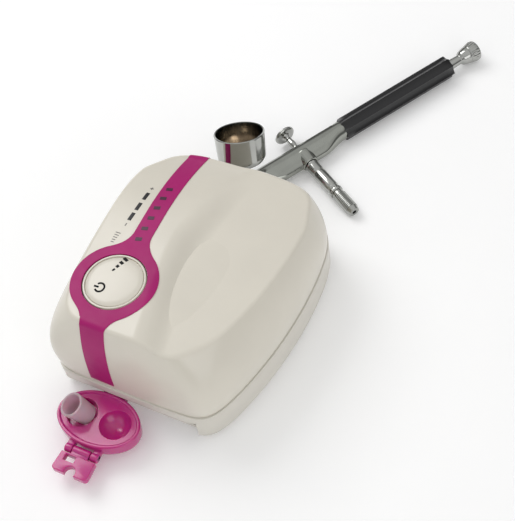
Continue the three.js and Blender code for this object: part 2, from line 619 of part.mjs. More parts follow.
// ---------------------------------------------------------------- the airbrush
// Its own axes: +X from the nose to the tail, +Z from the air valve to the trigger. It lies on its side, held up by
// its grip and by the end of its air valve, so its +Y points down and its roll follows from the two radii.
const brush = new THREE.Group();
const brushRoll = Math.asin((GRIP_RADIUS - VALVE_RADIUS) / VALVE_REACH);
const brushAxes = new THREE.Matrix4().makeBasis(
  new THREE.Vector3(1, 0, 0),
  new THREE.Vector3(0, 0, -1),
  new THREE.Vector3(0, 1, 0),
);
brush.quaternion
  .setFromAxisAngle(new THREE.Vector3(0, 0, 1), THREE.MathUtils.degToRad(BRUSH_YAW))
  .multiply(new THREE.Quaternion().setFromRotationMatrix(brushAxes))
  .multiply(new THREE.Quaternion().setFromAxisAngle(new THREE.Vector3(1, 0, 0), brushRoll));
brush.position.set(BRUSH_FOOT[0], BRUSH_FOOT[1], GRIP_RADIUS + 0.02);
group.add(brush);
const onBrush = (name, geometry, material) => piece(name, geometry, material, brush);

// A turned piece that stands out from the airbrush along its -Z side, at a place along its axis.
const valveWise = (profile, sides = 20) => turned(profile, sides).rotateY(Math.PI / 2).translate(TRIGGER_X, 0, 0);
const valveWiseRing = (profile, sides = 20) =>
  turnedRing(profile, sides).rotateY(Math.PI / 2).translate(TRIGGER_X, 0, 0);

// nose: needle cap, air cap, nozzle, needle
const needleCapWall = [[-10.6, 1], [-10.6, 1.6], [-8.6, 2.6], [-7.2, 2.6], [-7.2, 2.1], [-8.4, 1.5]];
const airCapWall = [[-9.1, 0.55], [-8.2, 1.2], [-6.9, 1.8], [-6.9, 3.2], [-3.8, 3.8], [-3.8, 1.5]];
const nozzleWall = [[-8.9, 0.3], [-8.8, 0.45], [-5.5, 1.2], [-2, 1.2], [-2, 0.75], [-5.5, 0.7]];
const needleRadius = 0.45;
onBrush("needle_cap", turnedRing(needleCapWall, 20), chrome);
onBrush("air_cap", turnedRing(airCapWall, 20), chrome);
onBrush("nozzle", turnedRing(nozzleWall, 12), brass);
onBrush("needle", turned([[-9.4, 0], [-5, 0.3], [0, needleRadius], [104, needleRadius], [104, 0]], 10), steel);

// body: a round bar with the cup seat, the trigger well, the valve boss and the rear sleeve socket
const cupAim = new THREE.Vector3(...CUP_DIRECTION).normalize();
const alongCup = (geometry) =>
  geometry.applyQuaternion(new THREE.Quaternion().setFromUnitVectors(new THREE.Vector3(1, 0, 0), cupAim));
const bodyProfile = [[-3.4, 0], [-3.4, 4.1], [-2.2, 4.7], [8, 4.9], [GRIP_START + 6, 4.6], [GRIP_START + 6, 0]];
const rearBore = turned([[40, 0], [40, 3.4], [GRIP_START + 8, 3.4], [GRIP_START + 8, 0]], 20);
const triggerWell = new THREE.BoxGeometry(9.4, 3.6, 12).translate(TRIGGER_X + 1.2, 0, 2.2);
const bodySeat = alongCup(turned([[2, 0], [2, 3.4], [8.4, 3.4], [8.4, 0]], 18));
onBrush(
  "airbrush_body",
  cut(
    join(
      turned(bodyProfile, 24),
      bodySeat,
      valveWise([[1, 0], [1, 5.6], [5.5, 4.6], [8, 4.2], [8, 0]]),
      new THREE.BoxGeometry(24, 3.2, 4).translate(TRIGGER_X - 1, 0, -4.2),
    ),
    rearBore,
    triggerWell,
    new THREE.BoxGeometry(40, 12, 3).translate(TRIGGER_X + 17 + 9, 0, 5.2),
    turned([[-5, 0], [-5, 1.5], [-1.2, 1.5], [-1.2, 0.8], [45, 0.8], [45, 0]], 16),
    alongCup(turned([[0, 0], [0, 1.1], [12, 1.1], [12, 0]], 12)),
    valveWise([[0, 0], [0, 2.3], [14, 2.3], [14, 0]], 16),
  ),
  chrome,
);

// cup: a straight-sided bowl with a funnel foot that seats on the body, tipped towards the tail
const cupWall = [[8.8, 1.2], [8.8, 2.9], [10.2, 3.1], [11.5, 4.6], [14, 9.6], [16.5, 11.6], [29.2, 12],
  [29.2, 11.2], [17, 10.8], [14.8, 8.9], [12.4, 4.2]];
onBrush("paint_cup", alongCup(turnedRing(cupWall, 30)), chrome);

// trigger on top of the valve plunger
const triggerRoot = -0.9; // the stem's forked foot straddles the needle
const disc = turned([[13.4, 0], [13.4, 4.4], [14, 5.2], [14.9, 5.4], [15.3, 4.6], [15, 0]], 22);
const stem = turned([[triggerRoot, 0], [triggerRoot, 1.45], [7.5, 1.45], [9, 1.9], [13.6, 1.5], [13.6, 0]], 14);
const needleSlot = new THREE.BoxGeometry(4, 1.5, 5.2).translate(0, 0, 0.9);
const triggerShape = cut(join(stem, disc).rotateY(-Math.PI / 2), needleSlot);
onBrush("trigger", triggerShape.translate(TRIGGER_X, 0, 0), chrome);

// air valve: stem housing screwed into the boss, plunger and spring inside, plug and hose fitting at its end
const stemWall = [[8.4, 2.6], [8.4, 3.6], [9.4, VALVE_RADIUS], [27, VALVE_RADIUS], [27, 2.1], [12, 2.1],
  [12, 1.2], [8.4, 1.2]];
const plungerProfile = [[1.3, 0], [1.3, 0.9], [13, 0.9], [13, 1.8], [14.6, 1.8], [14.6, 0]];
const connectorWall = [[25.8, 1], [25.8, 1.75], [27.4, 1.75], [27.4, 3.5], [29, 3.5], [29, 2.7], [31, 2.7],
  [31, VALVE_RADIUS], [41.8, VALVE_RADIUS], [VALVE_REACH, 2.9], [VALVE_REACH, 1]];
const valveSpring = coilSpring(15.1, 25.4, 1.45, 0.26, 6).rotateY(Math.PI / 2).translate(TRIGGER_X, 0, 0);
onBrush("valve_body", valveWiseRing(stemWall), chrome);
onBrush("valve_plunger", valveWise(plungerProfile, 12), brass);
onBrush("valve_spring", valveSpring, steel);
onBrush("hose_connector", valveWiseRing(connectorWall, 18), chrome);

// inside the grip: the chuck that holds the needle, its spring and the guide that the spring pushes against
const chuckWall = [[44, 0.75], [44, 2.6], [62, 2.6], [62, 1.5], [70, 1.5], [70, 0.75]];
const guideWall = [[80, 1], [80, 3.3], [88, 3.3], [88, 2.4], [101, 2.4], [101, 1]];
onBrush("needle_chuck", turnedRing(chuckWall, 16), brass);
onBrush("needle_spring", coilSpring(62.6, 79.4, 2.2, 0.3, 8), steel);
onBrush("spring_guide", turnedRing(guideWall, 16), aluminium);

// grip: a fluted sleeve
const fluted = new THREE.Shape();
const flutes = 8;
const fluteDepth = 0.7;
const fluteCorners = [[0.12, GRIP_RADIUS], [0.5, GRIP_RADIUS], [0.62, GRIP_RADIUS - fluteDepth],
  [0.98, GRIP_RADIUS - fluteDepth]];
const flutedPoints = [];
for (let i = 0; i < flutes; i++) {
  for (const [share, radius] of fluteCorners) {
    const angle = ((i + share) * 2 * Math.PI) / flutes;
    flutedPoints.push(new THREE.Vector2(radius * Math.cos(angle), radius * Math.sin(angle)));
  }
}
fluted.setFromPoints(flutedPoints);
const sleeveBar = extruded(fluted, 0, GRIP_END - GRIP_START).rotateX(Math.PI / 2).rotateZ(Math.PI / 2);
sleeveBar.translate(GRIP_START, 0, 0);
const gripBore = [[GRIP_START - 1, 0], [GRIP_START - 1, 4.9], [GRIP_START + 6.4, 4.9], [GRIP_START + 6.4, 3.6],
  [114, 3.6], [114, 1.9], [GRIP_END + 1, 1.9], [GRIP_END + 1, 0]];
onBrush(
  "grip_sleeve",
  cut(
    sleeveBar,
    turned(gripBore, 20),
  ),
  gripBlack,
);

// tail: the needle stop, a knob on a neck
const tailProfile = [[110, 0], [110, 1.5], [GRIP_END + 0.4, 1.5], [GRIP_END + 0.4, 2.7], [131, 2.4], [132.5, 3.9],
  [134.4, 4.2], [139.5, 5.3], [TAIL_END - 0.6, 5.1], [TAIL_END, 4.2], [TAIL_END - 1.2, 0]];
onBrush("tail_knob", turned(tailProfile, 22), chrome);

// ---------------------------------------------------------------- the part's own origin
// The footprint centre of the whole set, at the height of the surface that it stands on.
const extent = new THREE.Box3().setFromObject(group, true);
const middle = extent.getCenter(new THREE.Vector3());
group.position.set(-middle.x, -middle.y, -extent.min.z);

export default group;
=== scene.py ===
"""Visual model of a small airbrush compressor with its pull-out holder and its airbrush.

Lengths in the modelling code are millimetres in the compressor's own axes: x to the right, y to the rear,
z up, with the origin on the floor near the middle of the case. at() turns them into metres in the shared
frame.
"""

import math

import bmesh
import bpy
from mathutils import Matrix, Vector


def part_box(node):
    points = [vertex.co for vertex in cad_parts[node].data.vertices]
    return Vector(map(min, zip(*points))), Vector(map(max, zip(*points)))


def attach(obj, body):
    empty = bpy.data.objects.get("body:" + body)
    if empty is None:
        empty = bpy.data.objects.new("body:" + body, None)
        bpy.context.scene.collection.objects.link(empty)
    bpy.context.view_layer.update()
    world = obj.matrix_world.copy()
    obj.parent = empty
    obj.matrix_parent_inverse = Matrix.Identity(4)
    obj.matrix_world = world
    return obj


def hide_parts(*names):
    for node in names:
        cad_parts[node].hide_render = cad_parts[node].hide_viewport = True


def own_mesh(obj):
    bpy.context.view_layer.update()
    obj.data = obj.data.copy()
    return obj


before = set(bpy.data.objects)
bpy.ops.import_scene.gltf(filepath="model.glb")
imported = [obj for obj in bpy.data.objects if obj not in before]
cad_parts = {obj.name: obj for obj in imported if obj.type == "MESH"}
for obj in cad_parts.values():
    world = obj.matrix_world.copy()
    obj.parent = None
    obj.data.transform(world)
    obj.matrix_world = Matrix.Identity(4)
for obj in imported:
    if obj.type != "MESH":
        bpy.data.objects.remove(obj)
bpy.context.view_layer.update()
MM = 0.001

# ---------------------------------------------------------------- driving dimensions
# They are the CAD model's, apart from RING_OUTER and STEP_HALF_WIDTH.
CASE_FRONT_Y = -60
CASE_REAR_Y = 54
FRONT_HALF_WIDTH = 37.9
LEFT_BULGE = 3
RIGHT_BULGE = 12.8
WIDEST_Y = 9.5
FRONT_BOW = 1
FRONT_POWER = 12
REAR_LEFT_POWER = 3.9
REAR_RIGHT_POWER = 6.6
WALL_BELLY = 2
FOOT_HEIGHT = 2.5
SEAM_Z = 17.8
WALL = 2.2
GAP = 0.3
LIP = 0.7
EDGE_ROUND = 2.6
LEFT_TOP_Z = 57.4
LEFT_CREST_Y = -30
LEFT_FALL = 0.0011
LEFT_LEAN = 0.05
RIGHT_TOP_Z = 51.5
RIGHT_FALL = 0.04
RIGHT_LEAN = 0.07
REAR_FALL_Y = 5
LEFT_REAR_FALL = 0.0035
RIGHT_REAR_FALL = 0.0012
STEP_HALF_WIDTH = 7
BAND_X = -14
BUTTON_Y = -33
BUTTON_RADIUS = 13.6
RING_INNER = 14.1
RING_OUTER = 19
BAND_FRONT = 11.5
BAND_REAR = 8.6
LED_X = -24.5
LED_YS = (0.2, 6.4, 13)
LED_HALF_LENGTH = 2.25
HOLDER_X = -9
HOLDER_Y = -74
HOLDER_TOP = 12.2
HOLDER_BOTTOM = 5.6
HOLDER_A = 19.5
HOLDER_B = 13
FORK_HINGE = (HOLDER_X, HOLDER_Y - HOLDER_B - 2.4, 8)

# The compressor's origin in the shared frame, found from the fork's pin.
pin_low, pin_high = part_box("fork_pin")
ORIGIN = Vector(
    (
        (pin_low.x + pin_high.x) / 2 - FORK_HINGE[0] * MM,
        (pin_low.y + pin_high.y) / 2 - FORK_HINGE[1] * MM,
        0,
    )
)


def at(x, y, z):
    """A place in millimetres in the compressor's axes, as metres in the shared frame."""
    return ORIGIN + Vector((x, y, z)) * MM


# ---------------------------------------------------------------- camera
CAMERA_TARGET = (23, 19.2, 22.5)
CAMERA_DISTANCE = 0.5765  # metres
CAMERA_AZIMUTH = math.radians(34.25)
CAMERA_ELEVATION = math.radians(54.49)
CAMERA_ROLL = math.radians(10.33)
CAMERA_LENS = 90.31


def add_camera():
    towards = Vector(
        (
            math.sin(CAMERA_AZIMUTH) * math.cos(CAMERA_ELEVATION),
            -math.cos(CAMERA_AZIMUTH) * math.cos(CAMERA_ELEVATION),
            math.sin(CAMERA_ELEVATION),
        )
    )
    level_right = Vector((0, 0, 1)).cross(towards).normalized()
    level_up = towards.cross(level_right)
    right = math.cos(CAMERA_ROLL) * level_right - math.sin(CAMERA_ROLL) * level_up
    up = math.sin(CAMERA_ROLL) * level_right + math.cos(CAMERA_ROLL) * level_up
    data = bpy.data.cameras.new("camera")
    data.sensor_fit = "HORIZONTAL"
    data.sensor_width = 36
    data.lens = CAMERA_LENS
    data.clip_start = 0.01
    data.clip_end = 20
    camera = bpy.data.objects.new("camera", data)
    bpy.context.scene.collection.objects.link(camera)
    turn = Matrix((right, up, towards)).transposed().to_4x4()
    camera.matrix_world = Matrix.Translation(at(*CAMERA_TARGET) + towards * CAMERA_DISTANCE) @ turn
    bpy.context.scene.camera = camera


add_camera()


# ---------------------------------------------------------------- materials
def set_stops(color_ramp, stops):
    """Gives a colour ramp its (position, colour) stops."""
    while len(color_ramp.elements) < len(stops):
        color_ramp.elements.new(0.5)
    for element, (position, color) in zip(color_ramp.elements, stops):
        element.position = position
        element.color = (*color, 1)


class Nodes:
    """Short ways to add and wire shader nodes."""

    def __init__(self, name):
        self.material = bpy.data.materials.new(name)
        self.material.use_nodes = True
        self.tree = self.material.node_tree
        self.shader = self.tree.nodes["Principled BSDF"]
        self.place = self.tree.nodes.new("ShaderNodeTexCoord").outputs["Object"]

    def link(self, source, target):
        self.tree.links.new(source, target)

    def stretched(self, scale):
        node = self.tree.nodes.new("ShaderNodeMapping")
        node.inputs["Scale"].default_value = scale
        self.link(self.place, node.inputs["Vector"])
        return node.outputs["Vector"]

    def noise(self, scale, detail=3.0, roughness=0.55, vector=None):
        node = self.tree.nodes.new("ShaderNodeTexNoise")
        node.inputs["Scale"].default_value = scale
        node.inputs["Detail"].default_value = detail
        node.inputs["Roughness"].default_value = roughness
        self.link(vector or self.place, node.inputs["Vector"])
        return node.outputs["Fac"]

    def ramp(self, source, stops):
        node = self.tree.nodes.new("ShaderNodeValToRGB")
        set_stops(node.color_ramp, stops)
        self.link(source, node.inputs["Fac"])
        return node.outputs["Color"]

    def span(self, source, low, high):
        """A value that wanders between low and high as the source does."""
        node = self.tree.nodes.new("ShaderNodeMapRange")
        node.inputs["From Min"].default_value = 0.3
        node.inputs["From Max"].default_value = 0.7
        node.inputs["To Min"].default_value = low
        node.inputs["To Max"].default_value = high
        self.link(source, node.inputs["Value"])
        return node.outputs["Result"]

    def bump(self, source, strength, distance):
        node = self.tree.nodes.new("ShaderNodeBump")
        node.inputs["Strength"].default_value = strength
        node.inputs["Distance"].default_value = distance
        self.link(source, node.inputs["Height"])
        self.link(node.outputs["Normal"], self.shader.inputs["Normal"])

    def set(self, **values):
        for key, value in values.items():
            self.shader.inputs[key.replace("_", " ")].default_value = value


def tinted(color, amount):
    """Two shades round a colour, for slow variation over a surface."""
    dark = tuple(c * (1 - amount) for c in color)
    light = tuple(min(1, c * (1 + amount)) for c in color)
    return [(0.32, dark), (0.68, light)]


def plastic(name, color, rough, grain, coat=0.0, variation=0.03, grain_scale=2600):
    n = Nodes(name)
    shades = n.ramp(n.noise(38, 4), tinted(color, variation))
    n.link(shades, n.shader.inputs["Base Color"])
    wear = n.span(n.noise(160, 5, 0.6), rough * 0.86, rough * 1.16)
    n.link(wear, n.shader.inputs["Roughness"])
    n.bump(n.noise(grain_scale, 2, 0.5), grain, 0.00004)
    n.set(Coat_Weight=coat, Coat_Roughness=0.12)
    return n


def metal(name, color, rough, stretch=None, scratch=0.06):
    n = Nodes(name)
    vector = n.stretched(stretch) if stretch else None
    shades = n.ramp(n.noise(90, 4), tinted(color, 0.05))
    n.link(shades, n.shader.inputs["Base Color"])
    smudges = n.span(n.noise(220, 5, 0.6), rough * 0.65, rough * 1.35)
    n.link(smudges, n.shader.inputs["Roughness"])
    n.bump(n.noise(1500, 3, 0.5, vector), scratch, 0.00003)
    n.set(Metallic=1.0)
    return n


pearl = plastic("pearl_gloss", (0.72, 0.68, 0.59), 0.34, 0.05, coat=0.3, variation=0.02)
pearl_base = plastic("pearl_base", (0.70, 0.67, 0.60), 0.38, 0.07, coat=0.15, variation=0.02)
magenta = plastic("magenta_trim", (0.40, 0.010, 0.150), 0.45, 0.08, variation=0.06)
magenta.set(Specular_IOR_Level=0.25)
holder_pink = plastic("magenta_holder", (0.49, 0.016, 0.20), 0.22, 0.03, coat=0.45, variation=0.05)
holder_pink.set(Subsurface_Weight=0.25, Subsurface_Scale=0.003)
ink = plastic("black_print", (0.006, 0.006, 0.007), 0.6, 0.04, variation=0.2)
ink.set(Specular_IOR_Level=0.2)
grey_ink = plastic("grey_print", (0.16, 0.15, 0.14), 0.5, 0.04, variation=0.15)
dark_mark = plastic("dark_mark", (0.06, 0.006, 0.035), 0.4, 0.06, variation=0.15)
lens = plastic("dark_lens", (0.006, 0.006, 0.008), 0.4, 0.02, variation=0.2)
rubber = plastic("foot_rubber", (0.028, 0.028, 0.03), 0.75, 0.3, variation=0.15)
black_plastic = plastic("black_plastic", (0.022, 0.022, 0.024), 0.5, 0.25, variation=0.12)
solder_mask = plastic("solder_mask", (0.018, 0.14, 0.05), 0.35, 0.1, coat=0.3, variation=0.12)
felt = plastic("filter_felt", (0.7, 0.68, 0.62), 0.95, 0.6, variation=0.06, grain_scale=1200)
felt.set(Sheen_Weight=0.3)
grip_black = plastic("grip_anodised", (0.006, 0.006, 0.007), 0.24, 0.06, variation=0.2)
grip_black.set(Specular_IOR_Level=0.5)
silicone = plastic("silicone", (0.86, 0.70, 0.76), 0.32, 0.05, variation=0.03)
silicone.set(Transmission_Weight=0.55, IOR=1.41, Subsurface_Weight=0.2, Subsurface_Scale=0.002)
chrome = metal("chrome", (0.43, 0.435, 0.415), 0.11)
# A darker copy of the chrome for the airbrush's body: painted shade standing in for the body's darker
# reflections.
painted_shade_chrome_bar = metal("painted_shade_chrome_bar", (0.34, 0.35, 0.32), 0.15)
steel = metal("brushed_steel", (0.5, 0.5, 0.5), 0.3, stretch=(1, 12, 1), scratch=0.2)
aluminium = metal("turned_aluminium", (0.6, 0.6, 0.6), 0.32, stretch=(1, 8, 1), scratch=0.15)
brass = metal("brass", (0.62, 0.43, 0.16), 0.24)
# Brown-tinted metal for the cup's inner wall.
cup_inside_brown = metal("cup_inside_brown", (0.46, 0.33, 0.22), 0.24)


# ---------------------------------------------------------------- mesh helpers
def new_piece(name, mesh, body, materials, replaces=(), sharp=35):
    """Adds a finished mesh as a piece: materials, shading, body and replaced nodes."""
    piece = bpy.data.objects.new(name, mesh)
    bpy.context.scene.collection.objects.link(piece)
    for material in materials:
        mesh.materials.append(material.material)
    mesh.shade_smooth()
    mesh.set_sharp_from_angle(angle=math.radians(sharp))
    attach(piece, body)
    if replaces:
        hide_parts(*replaces)
    return piece


def mesh_of(name, points, faces):
    mesh = bpy.data.meshes.new(name)
    mesh.from_pydata([tuple(p) for p in points], [], faces)
    mesh.validate()
    return mesh


def outward(mesh):
    """Turns all faces of a closed mesh outwards."""
    work = bmesh.new()
    work.from_mesh(mesh)
    bmesh.ops.recalc_face_normals(work, faces=work.faces)
    work.to_mesh(mesh)
    work.free()
    return mesh


def joined(meshes, name):
    """One mesh holding several. Material numbers are kept."""
    work = bmesh.new()
    for mesh in meshes:
        work.from_mesh(mesh)
    result = bpy.data.meshes.new(name)
    work.to_mesh(result)
    work.free()
    return result


def evaluated(mesh, add_modifiers):
    """The mesh after modifiers that add_modifiers(object) puts on a temporary object."""
    temporary = bpy.data.objects.new("temporary", mesh)
    bpy.context.scene.collection.objects.link(temporary)
    helpers = add_modifiers(temporary) or []
    graph = bpy.context.evaluated_depsgraph_get()
    result = bpy.data.meshes.new_from_object(temporary.evaluated_get(graph))
    for extra in [temporary, *helpers]:
        bpy.data.objects.remove(extra)
    return result


def bevelled(mesh, width, segments=3):
    def modifiers(holder):
        bevel = holder.modifiers.new("bevel", "BEVEL")
        bevel.width = width * MM
        bevel.segments = segments
        bevel.limit_method = "ANGLE"
        bevel.angle_limit = math.radians(40)
        bevel.use_clamp_overlap = True

    return evaluated(mesh, modifiers)


def boolean(mesh, tools, operation):
    def modifiers(holder):
        helpers = []
        for tool in tools:
            helper = bpy.data.objects.new("tool", tool)
            bpy.context.scene.collection.objects.link(helper)
            modifier = holder.modifiers.new("boolean", "BOOLEAN")
            modifier.operation = operation
            modifier.solver = "EXACT"
            modifier.object = helper
            helpers.append(helper)
        return helpers

    return evaluated(mesh, modifiers)


def ring_faces(ring_count, size, closed_loop):
    """Quads between consecutive rings of equal size; closed_loop joins the last ring to the first."""
    faces = []
    last = ring_count if closed_loop else ring_count - 1
    for i in range(last):
        a, b = i * size, ((i + 1) % ring_count) * size
        for j in range(size):
            k = (j + 1) % size
            faces.append((a + j, a + k, b + k, b + j))
    return faces


def rings_mesh(name, rings, closed_loop=False):
    """A surface through rings of points, each a list of the same length, with flat caps on an open chain."""
    size = len(rings[0])
    points = [p for ring in rings for p in ring]
    faces = ring_faces(len(rings), size, closed_loop)
    if not closed_loop:
        faces.append(tuple(reversed(range(size))))
        start = (len(rings) - 1) * size
        faces.append(tuple(range(start, start + size)))
    return outward(mesh_of(name, points, faces))


def lathe(name, profile, place, sides, closed_loop=False, radius_at=None):
    """A turned piece: (along, radius) pairs, placed by place(along, across, up)."""
    rings = []
    for along, radius in profile:
        ring = []
        for j in range(sides):
            angle = 2 * math.pi * j / sides
            r = radius if radius_at is None else radius_at(along, radius, angle)
            ring.append(place(along, r * math.cos(angle), r * math.sin(angle)))
        rings.append(ring)
    return rings_mesh(name, rings, closed_loop)


def softened(profile, radius, steps=4, closed=False):
    """The profile with each corner replaced by a small arc-like curve."""
    result = []
    count = len(profile)
    for i, corner in enumerate(profile):
        if not closed and i in (0, count - 1):
            result.append(corner)
            continue
        here = Vector(corner)
        before = Vector(profile[i - 1]) - here
        after = Vector(profile[(i + 1) % count]) - here
        reach = min(radius, before.length * 0.45, after.length * 0.45)
        start = here + before.normalized() * reach
        end = here + after.normalized() * reach
        for step in range(steps + 1):
            t = step / steps
            point = start * (1 - t) ** 2 + here * 2 * t * (1 - t) + end * t**2
            result.append((point.x, point.y))
    return result


BOX_FACES = [(0, 2, 3, 1), (4, 5, 7, 6), (0, 1, 5, 4), (2, 6, 7, 3), (0, 4, 6, 2), (1, 3, 7, 5)]


def box_mesh(name, x, y, z, round_by=0.0, place=at):
    """A box between pairs of limits, with rounded edges where round_by isn't 0."""
    corners = [place(a, b, c) for c in z for b in y for a in x]
    mesh = outward(mesh_of(name, corners, BOX_FACES))
    return bevelled(mesh, round_by) if round_by else mesh


# ---------------------------------------------------------------- the case's form
def smoothstep(value, low, high):
    t = min(1, max(0, (value - low) / (high - low)))
    return t * t * (3 - 2 * t)


def half_width(y, bulge):
    t = (y - WIDEST_Y) / (WIDEST_Y - CASE_FRONT_Y)
    return FRONT_HALF_WIDTH + bulge * (1 - t * t)


def inset(angle, amount):
    """A point of the case's plan outline moved inwards: straight front, bulged sides, round rear corners."""
    c, s = math.cos(angle), math.sin(angle)
    reach = max(abs(c), abs(s))
    u, v = c / reach, s / reach
    front_power = FRONT_POWER - 0.55 * amount
    rear_power = REAR_LEFT_POWER if c < 0 else REAR_RIGHT_POWER
    power = front_power if s < 0 else rear_power
    shrink = (abs(u) ** power + abs(v) ** power) ** (-1 / power)
    y = shrink * v * ((-CASE_FRONT_Y if s < 0 else CASE_REAR_Y) - amount)
    bow = FRONT_BOW * (1 - (shrink * u) ** 2) * (shrink * v) ** 6 if s < 0 else 0
    bulge = LEFT_BULGE if c < 0 else RIGHT_BULGE
    return Vector((shrink * u * (half_width(y, bulge) - amount), y - bow))


def outline(angle):
    return inset(angle, 0)


def sideness(angle):
    """0 in the middle of the front and of the rear, 1 along a side."""
    p = outline(angle)
    return smoothstep(abs(p.x), 20, 40) * (1 - smoothstep(p.y, 30, 52))


FRONT_LEAN = 4.8
REAR_LEAN = 3.4


def wall_lean(angle):
    """How far the wall leans in from the seam to the top edge."""
    p = outline(angle)
    rearness = smoothstep(p.y, 30, 52)
    side = sideness(angle)
    along = min(1, max(0, (p.y - CASE_FRONT_Y) / 100))
    side_lean = 6.9 - 4.4 * along if p.x < 0 else 8 - 4.5 * along
    return FRONT_LEAN * (1 - rearness) * (1 - side) + side_lean * side + REAR_LEAN * rearness


def step_x(y):
    """Where the raised left side of the top steps down to the right side."""
    return 3.4 + 9.5 * (-y / 53) ** 1.2 if y < 0 else 3.4 + 4.4 * y / 43


def top_z(x, y):
    behind = max(0, y - REAR_FALL_Y) ** 2
    left_fall = LEFT_FALL * (y - LEFT_CREST_Y) ** 2 + LEFT_REAR_FALL * behind
    right_fall = RIGHT_FALL * (y + 55) + RIGHT_REAR_FALL * behind
    left = LEFT_TOP_Z - left_fall + LEFT_LEAN * (x - BAND_X)
    right = RIGHT_TOP_Z - right_fall + RIGHT_LEAN * (32 - x)
    middle = step_x(y)
    return left + (right - left) * smoothstep(x, middle - STEP_HALF_WIDTH, middle + STEP_HALF_WIDTH)


WALL_SHARE = 0.62  # of the stage from the seam to the top edge; the rest is the rounded edge
LEAN_POWER = 2.6  # how late the wall starts to lean in


def wall_point(angle, stage, grow=0.0):
    """A point of the case's wall and rounded edge: stage 0 is the seam, 1 the top face's edge."""
    lean = wall_lean(angle)
    belly = WALL_BELLY * sideness(angle)
    rim = inset(angle, lean + EDGE_ROUND)
    round_z = top_z(rim.x, rim.y) - EDGE_ROUND
    first_turn = math.atan((LEAN_POWER * lean + 4 * belly) / (round_z - SEAM_Z))
    shoulder = lean + EDGE_ROUND * (1 - math.cos(first_turn))
    if stage <= WALL_SHARE:
        t = stage / WALL_SHARE
        p = inset(angle, shoulder * t**LEAN_POWER - belly * 4 * t * (1 - t) - grow)
        shoulder_z = round_z + (EDGE_ROUND + grow) * math.sin(first_turn)
        return Vector((p.x, p.y, SEAM_Z + (shoulder_z - SEAM_Z) * t))
    turn = first_turn + (stage - WALL_SHARE) / (1 - WALL_SHARE) * (math.pi / 2 - first_turn)
    radius = EDGE_ROUND + grow
    p = inset(angle, lean + EDGE_ROUND - radius * math.cos(turn))
    return Vector((p.x, p.y, round_z + radius * math.sin(turn)))


button_z = top_z(BAND_X, BUTTON_Y)
button_normal = Vector(
    (
        top_z(BAND_X - 1, BUTTON_Y) - top_z(BAND_X + 1, BUTTON_Y),
        top_z(BAND_X, BUTTON_Y - 1) - top_z(BAND_X, BUTTON_Y + 1),
        2,
    )
).normalized()
button_turn = Vector((0, 0, 1)).rotation_difference(button_normal)


def on_button(x, y, z):
    """A place given round the button's own centre, on the case's surface."""
    p = button_turn @ Vector((x, y, z))
    return at(BAND_X + p.x, BUTTON_Y + p.y, button_z + p.z)


# ---------------------------------------------------------------- upper shell
ANGLES = [2 * math.pi * i / 400 for i in range(400)]
WALL_STAGES = [WALL_SHARE * i / 18 for i in range(18)]
WALL_STAGES += [WALL_SHARE + (1 - WALL_SHARE) * i / 8 for i in range(9)]
TOP_ROWS = 64


def build_shell():
    rings = []
    for stage in WALL_STAGES:
        rings.append([at(*wall_point(a, stage)) for a in ANGLES])
    centre = Vector((BAND_X, BUTTON_Y))
    rims = [wall_point(a, 1).to_2d() for a in ANGLES]
    for row in range(1, TOP_ROWS + 1):
        t = row / TOP_ROWS
        ring = []
        for rim in rims:
            inner = centre + (rim - centre).normalized() * RING_INNER
            p = rim.lerp(inner, t)
            ring.append(at(p.x, p.y, top_z(p.x, p.y)))
        rings.append(ring)
    for depth in (0.4, WALL, WALL + 0.01):
        ring = []
        for rim in rims:
            grow = 0.5 if depth > WALL else 0
            p = centre + (rim - centre).normalized() * (RING_INNER + grow)
            ring.append(at(p.x, p.y, top_z(p.x, p.y) - depth))
        rings.append(ring)
    for stage in (1, 0.8, WALL_SHARE, 0.3, 0):
        ring = []
        for a in ANGLES:
            p = wall_point(a, stage, -WALL)
            ring.append(at(p.x, p.y, p.z))
        rings.append(ring)
    mesh = rings_mesh("upper_shell_skin", rings, closed_loop=True)
    new_piece("upper_shell_skin", mesh, "casing", [pearl], ["upper_shell"], 50)


build_shell()


# ---------------------------------------------------------------- trim band
def half_plan(y):
    """Half the band's width at a place along it: straps, fillets and the ring round the button."""
    flare = math.radians(35)
    dy = abs(y - BUTTON_Y)
    strap = (BAND_FRONT if y < BUTTON_Y else BAND_REAR) / 2
    touch = Vector((RING_OUTER * math.sin(flare), RING_OUTER * math.cos(flare)))
    if dy <= touch.y:
        return math.sqrt(RING_OUTER**2 - dy**2)
    corner = Vector((strap, touch.y + (touch.x - strap) / math.cos(flare) * math.sin(flare)))
    start = corner.y + 6
    if dy >= start:
        return strap
    low, high = 0.0, 1.0
    for _ in range(30):
        t = (low + high) / 2
        along = touch.y * (1 - t) ** 2 + corner.y * 2 * t * (1 - t) + start * t**2
        low, high = (t, high) if along < dy else (low, t)
    return touch.x * (1 - t) ** 2 + strap * 2 * t * (1 - t) + strap * t**2


BAND_PROUD = 0.3  # how far the band stands out of the case


def end_point(x, stage, rear):
    """The point of the band on the case's front or rear wall, at a stage of the wall, that has this x."""
    low = math.radians(40 if rear else -140)
    high = math.radians(140 if rear else -40)
    for _ in range(26):
        angle = (low + high) / 2
        here = wall_point(angle, stage, BAND_PROUD).x
        if (here > x) == rear:
            low = angle
        else:
            high = angle
    return wall_point(angle, stage, BAND_PROUD)


def end_row(stage, rear):
    """A function of x that gives points on the front or rear wall."""
    return lambda x: end_point(x, stage, rear)


def top_row(y):
    """A function of x that gives points on the case's top."""
    return lambda x: Vector((x, y, top_z(x, y) + BAND_PROUD))


def band_x(y):
    """The band's centre line: the front strap stands a little to the right, the rear one drifts left."""
    front = 1.7 * smoothstep(-y, 43, 55)
    rear = 0.062 * max(0, y + 14)
    return BAND_X + front - rear


band_stages = [0.045 + (WALL_SHARE - 0.045) * i / 10 for i in range(10)]
band_stages += [WALL_SHARE + (1 - WALL_SHARE) * i / 7 for i in range(8)]


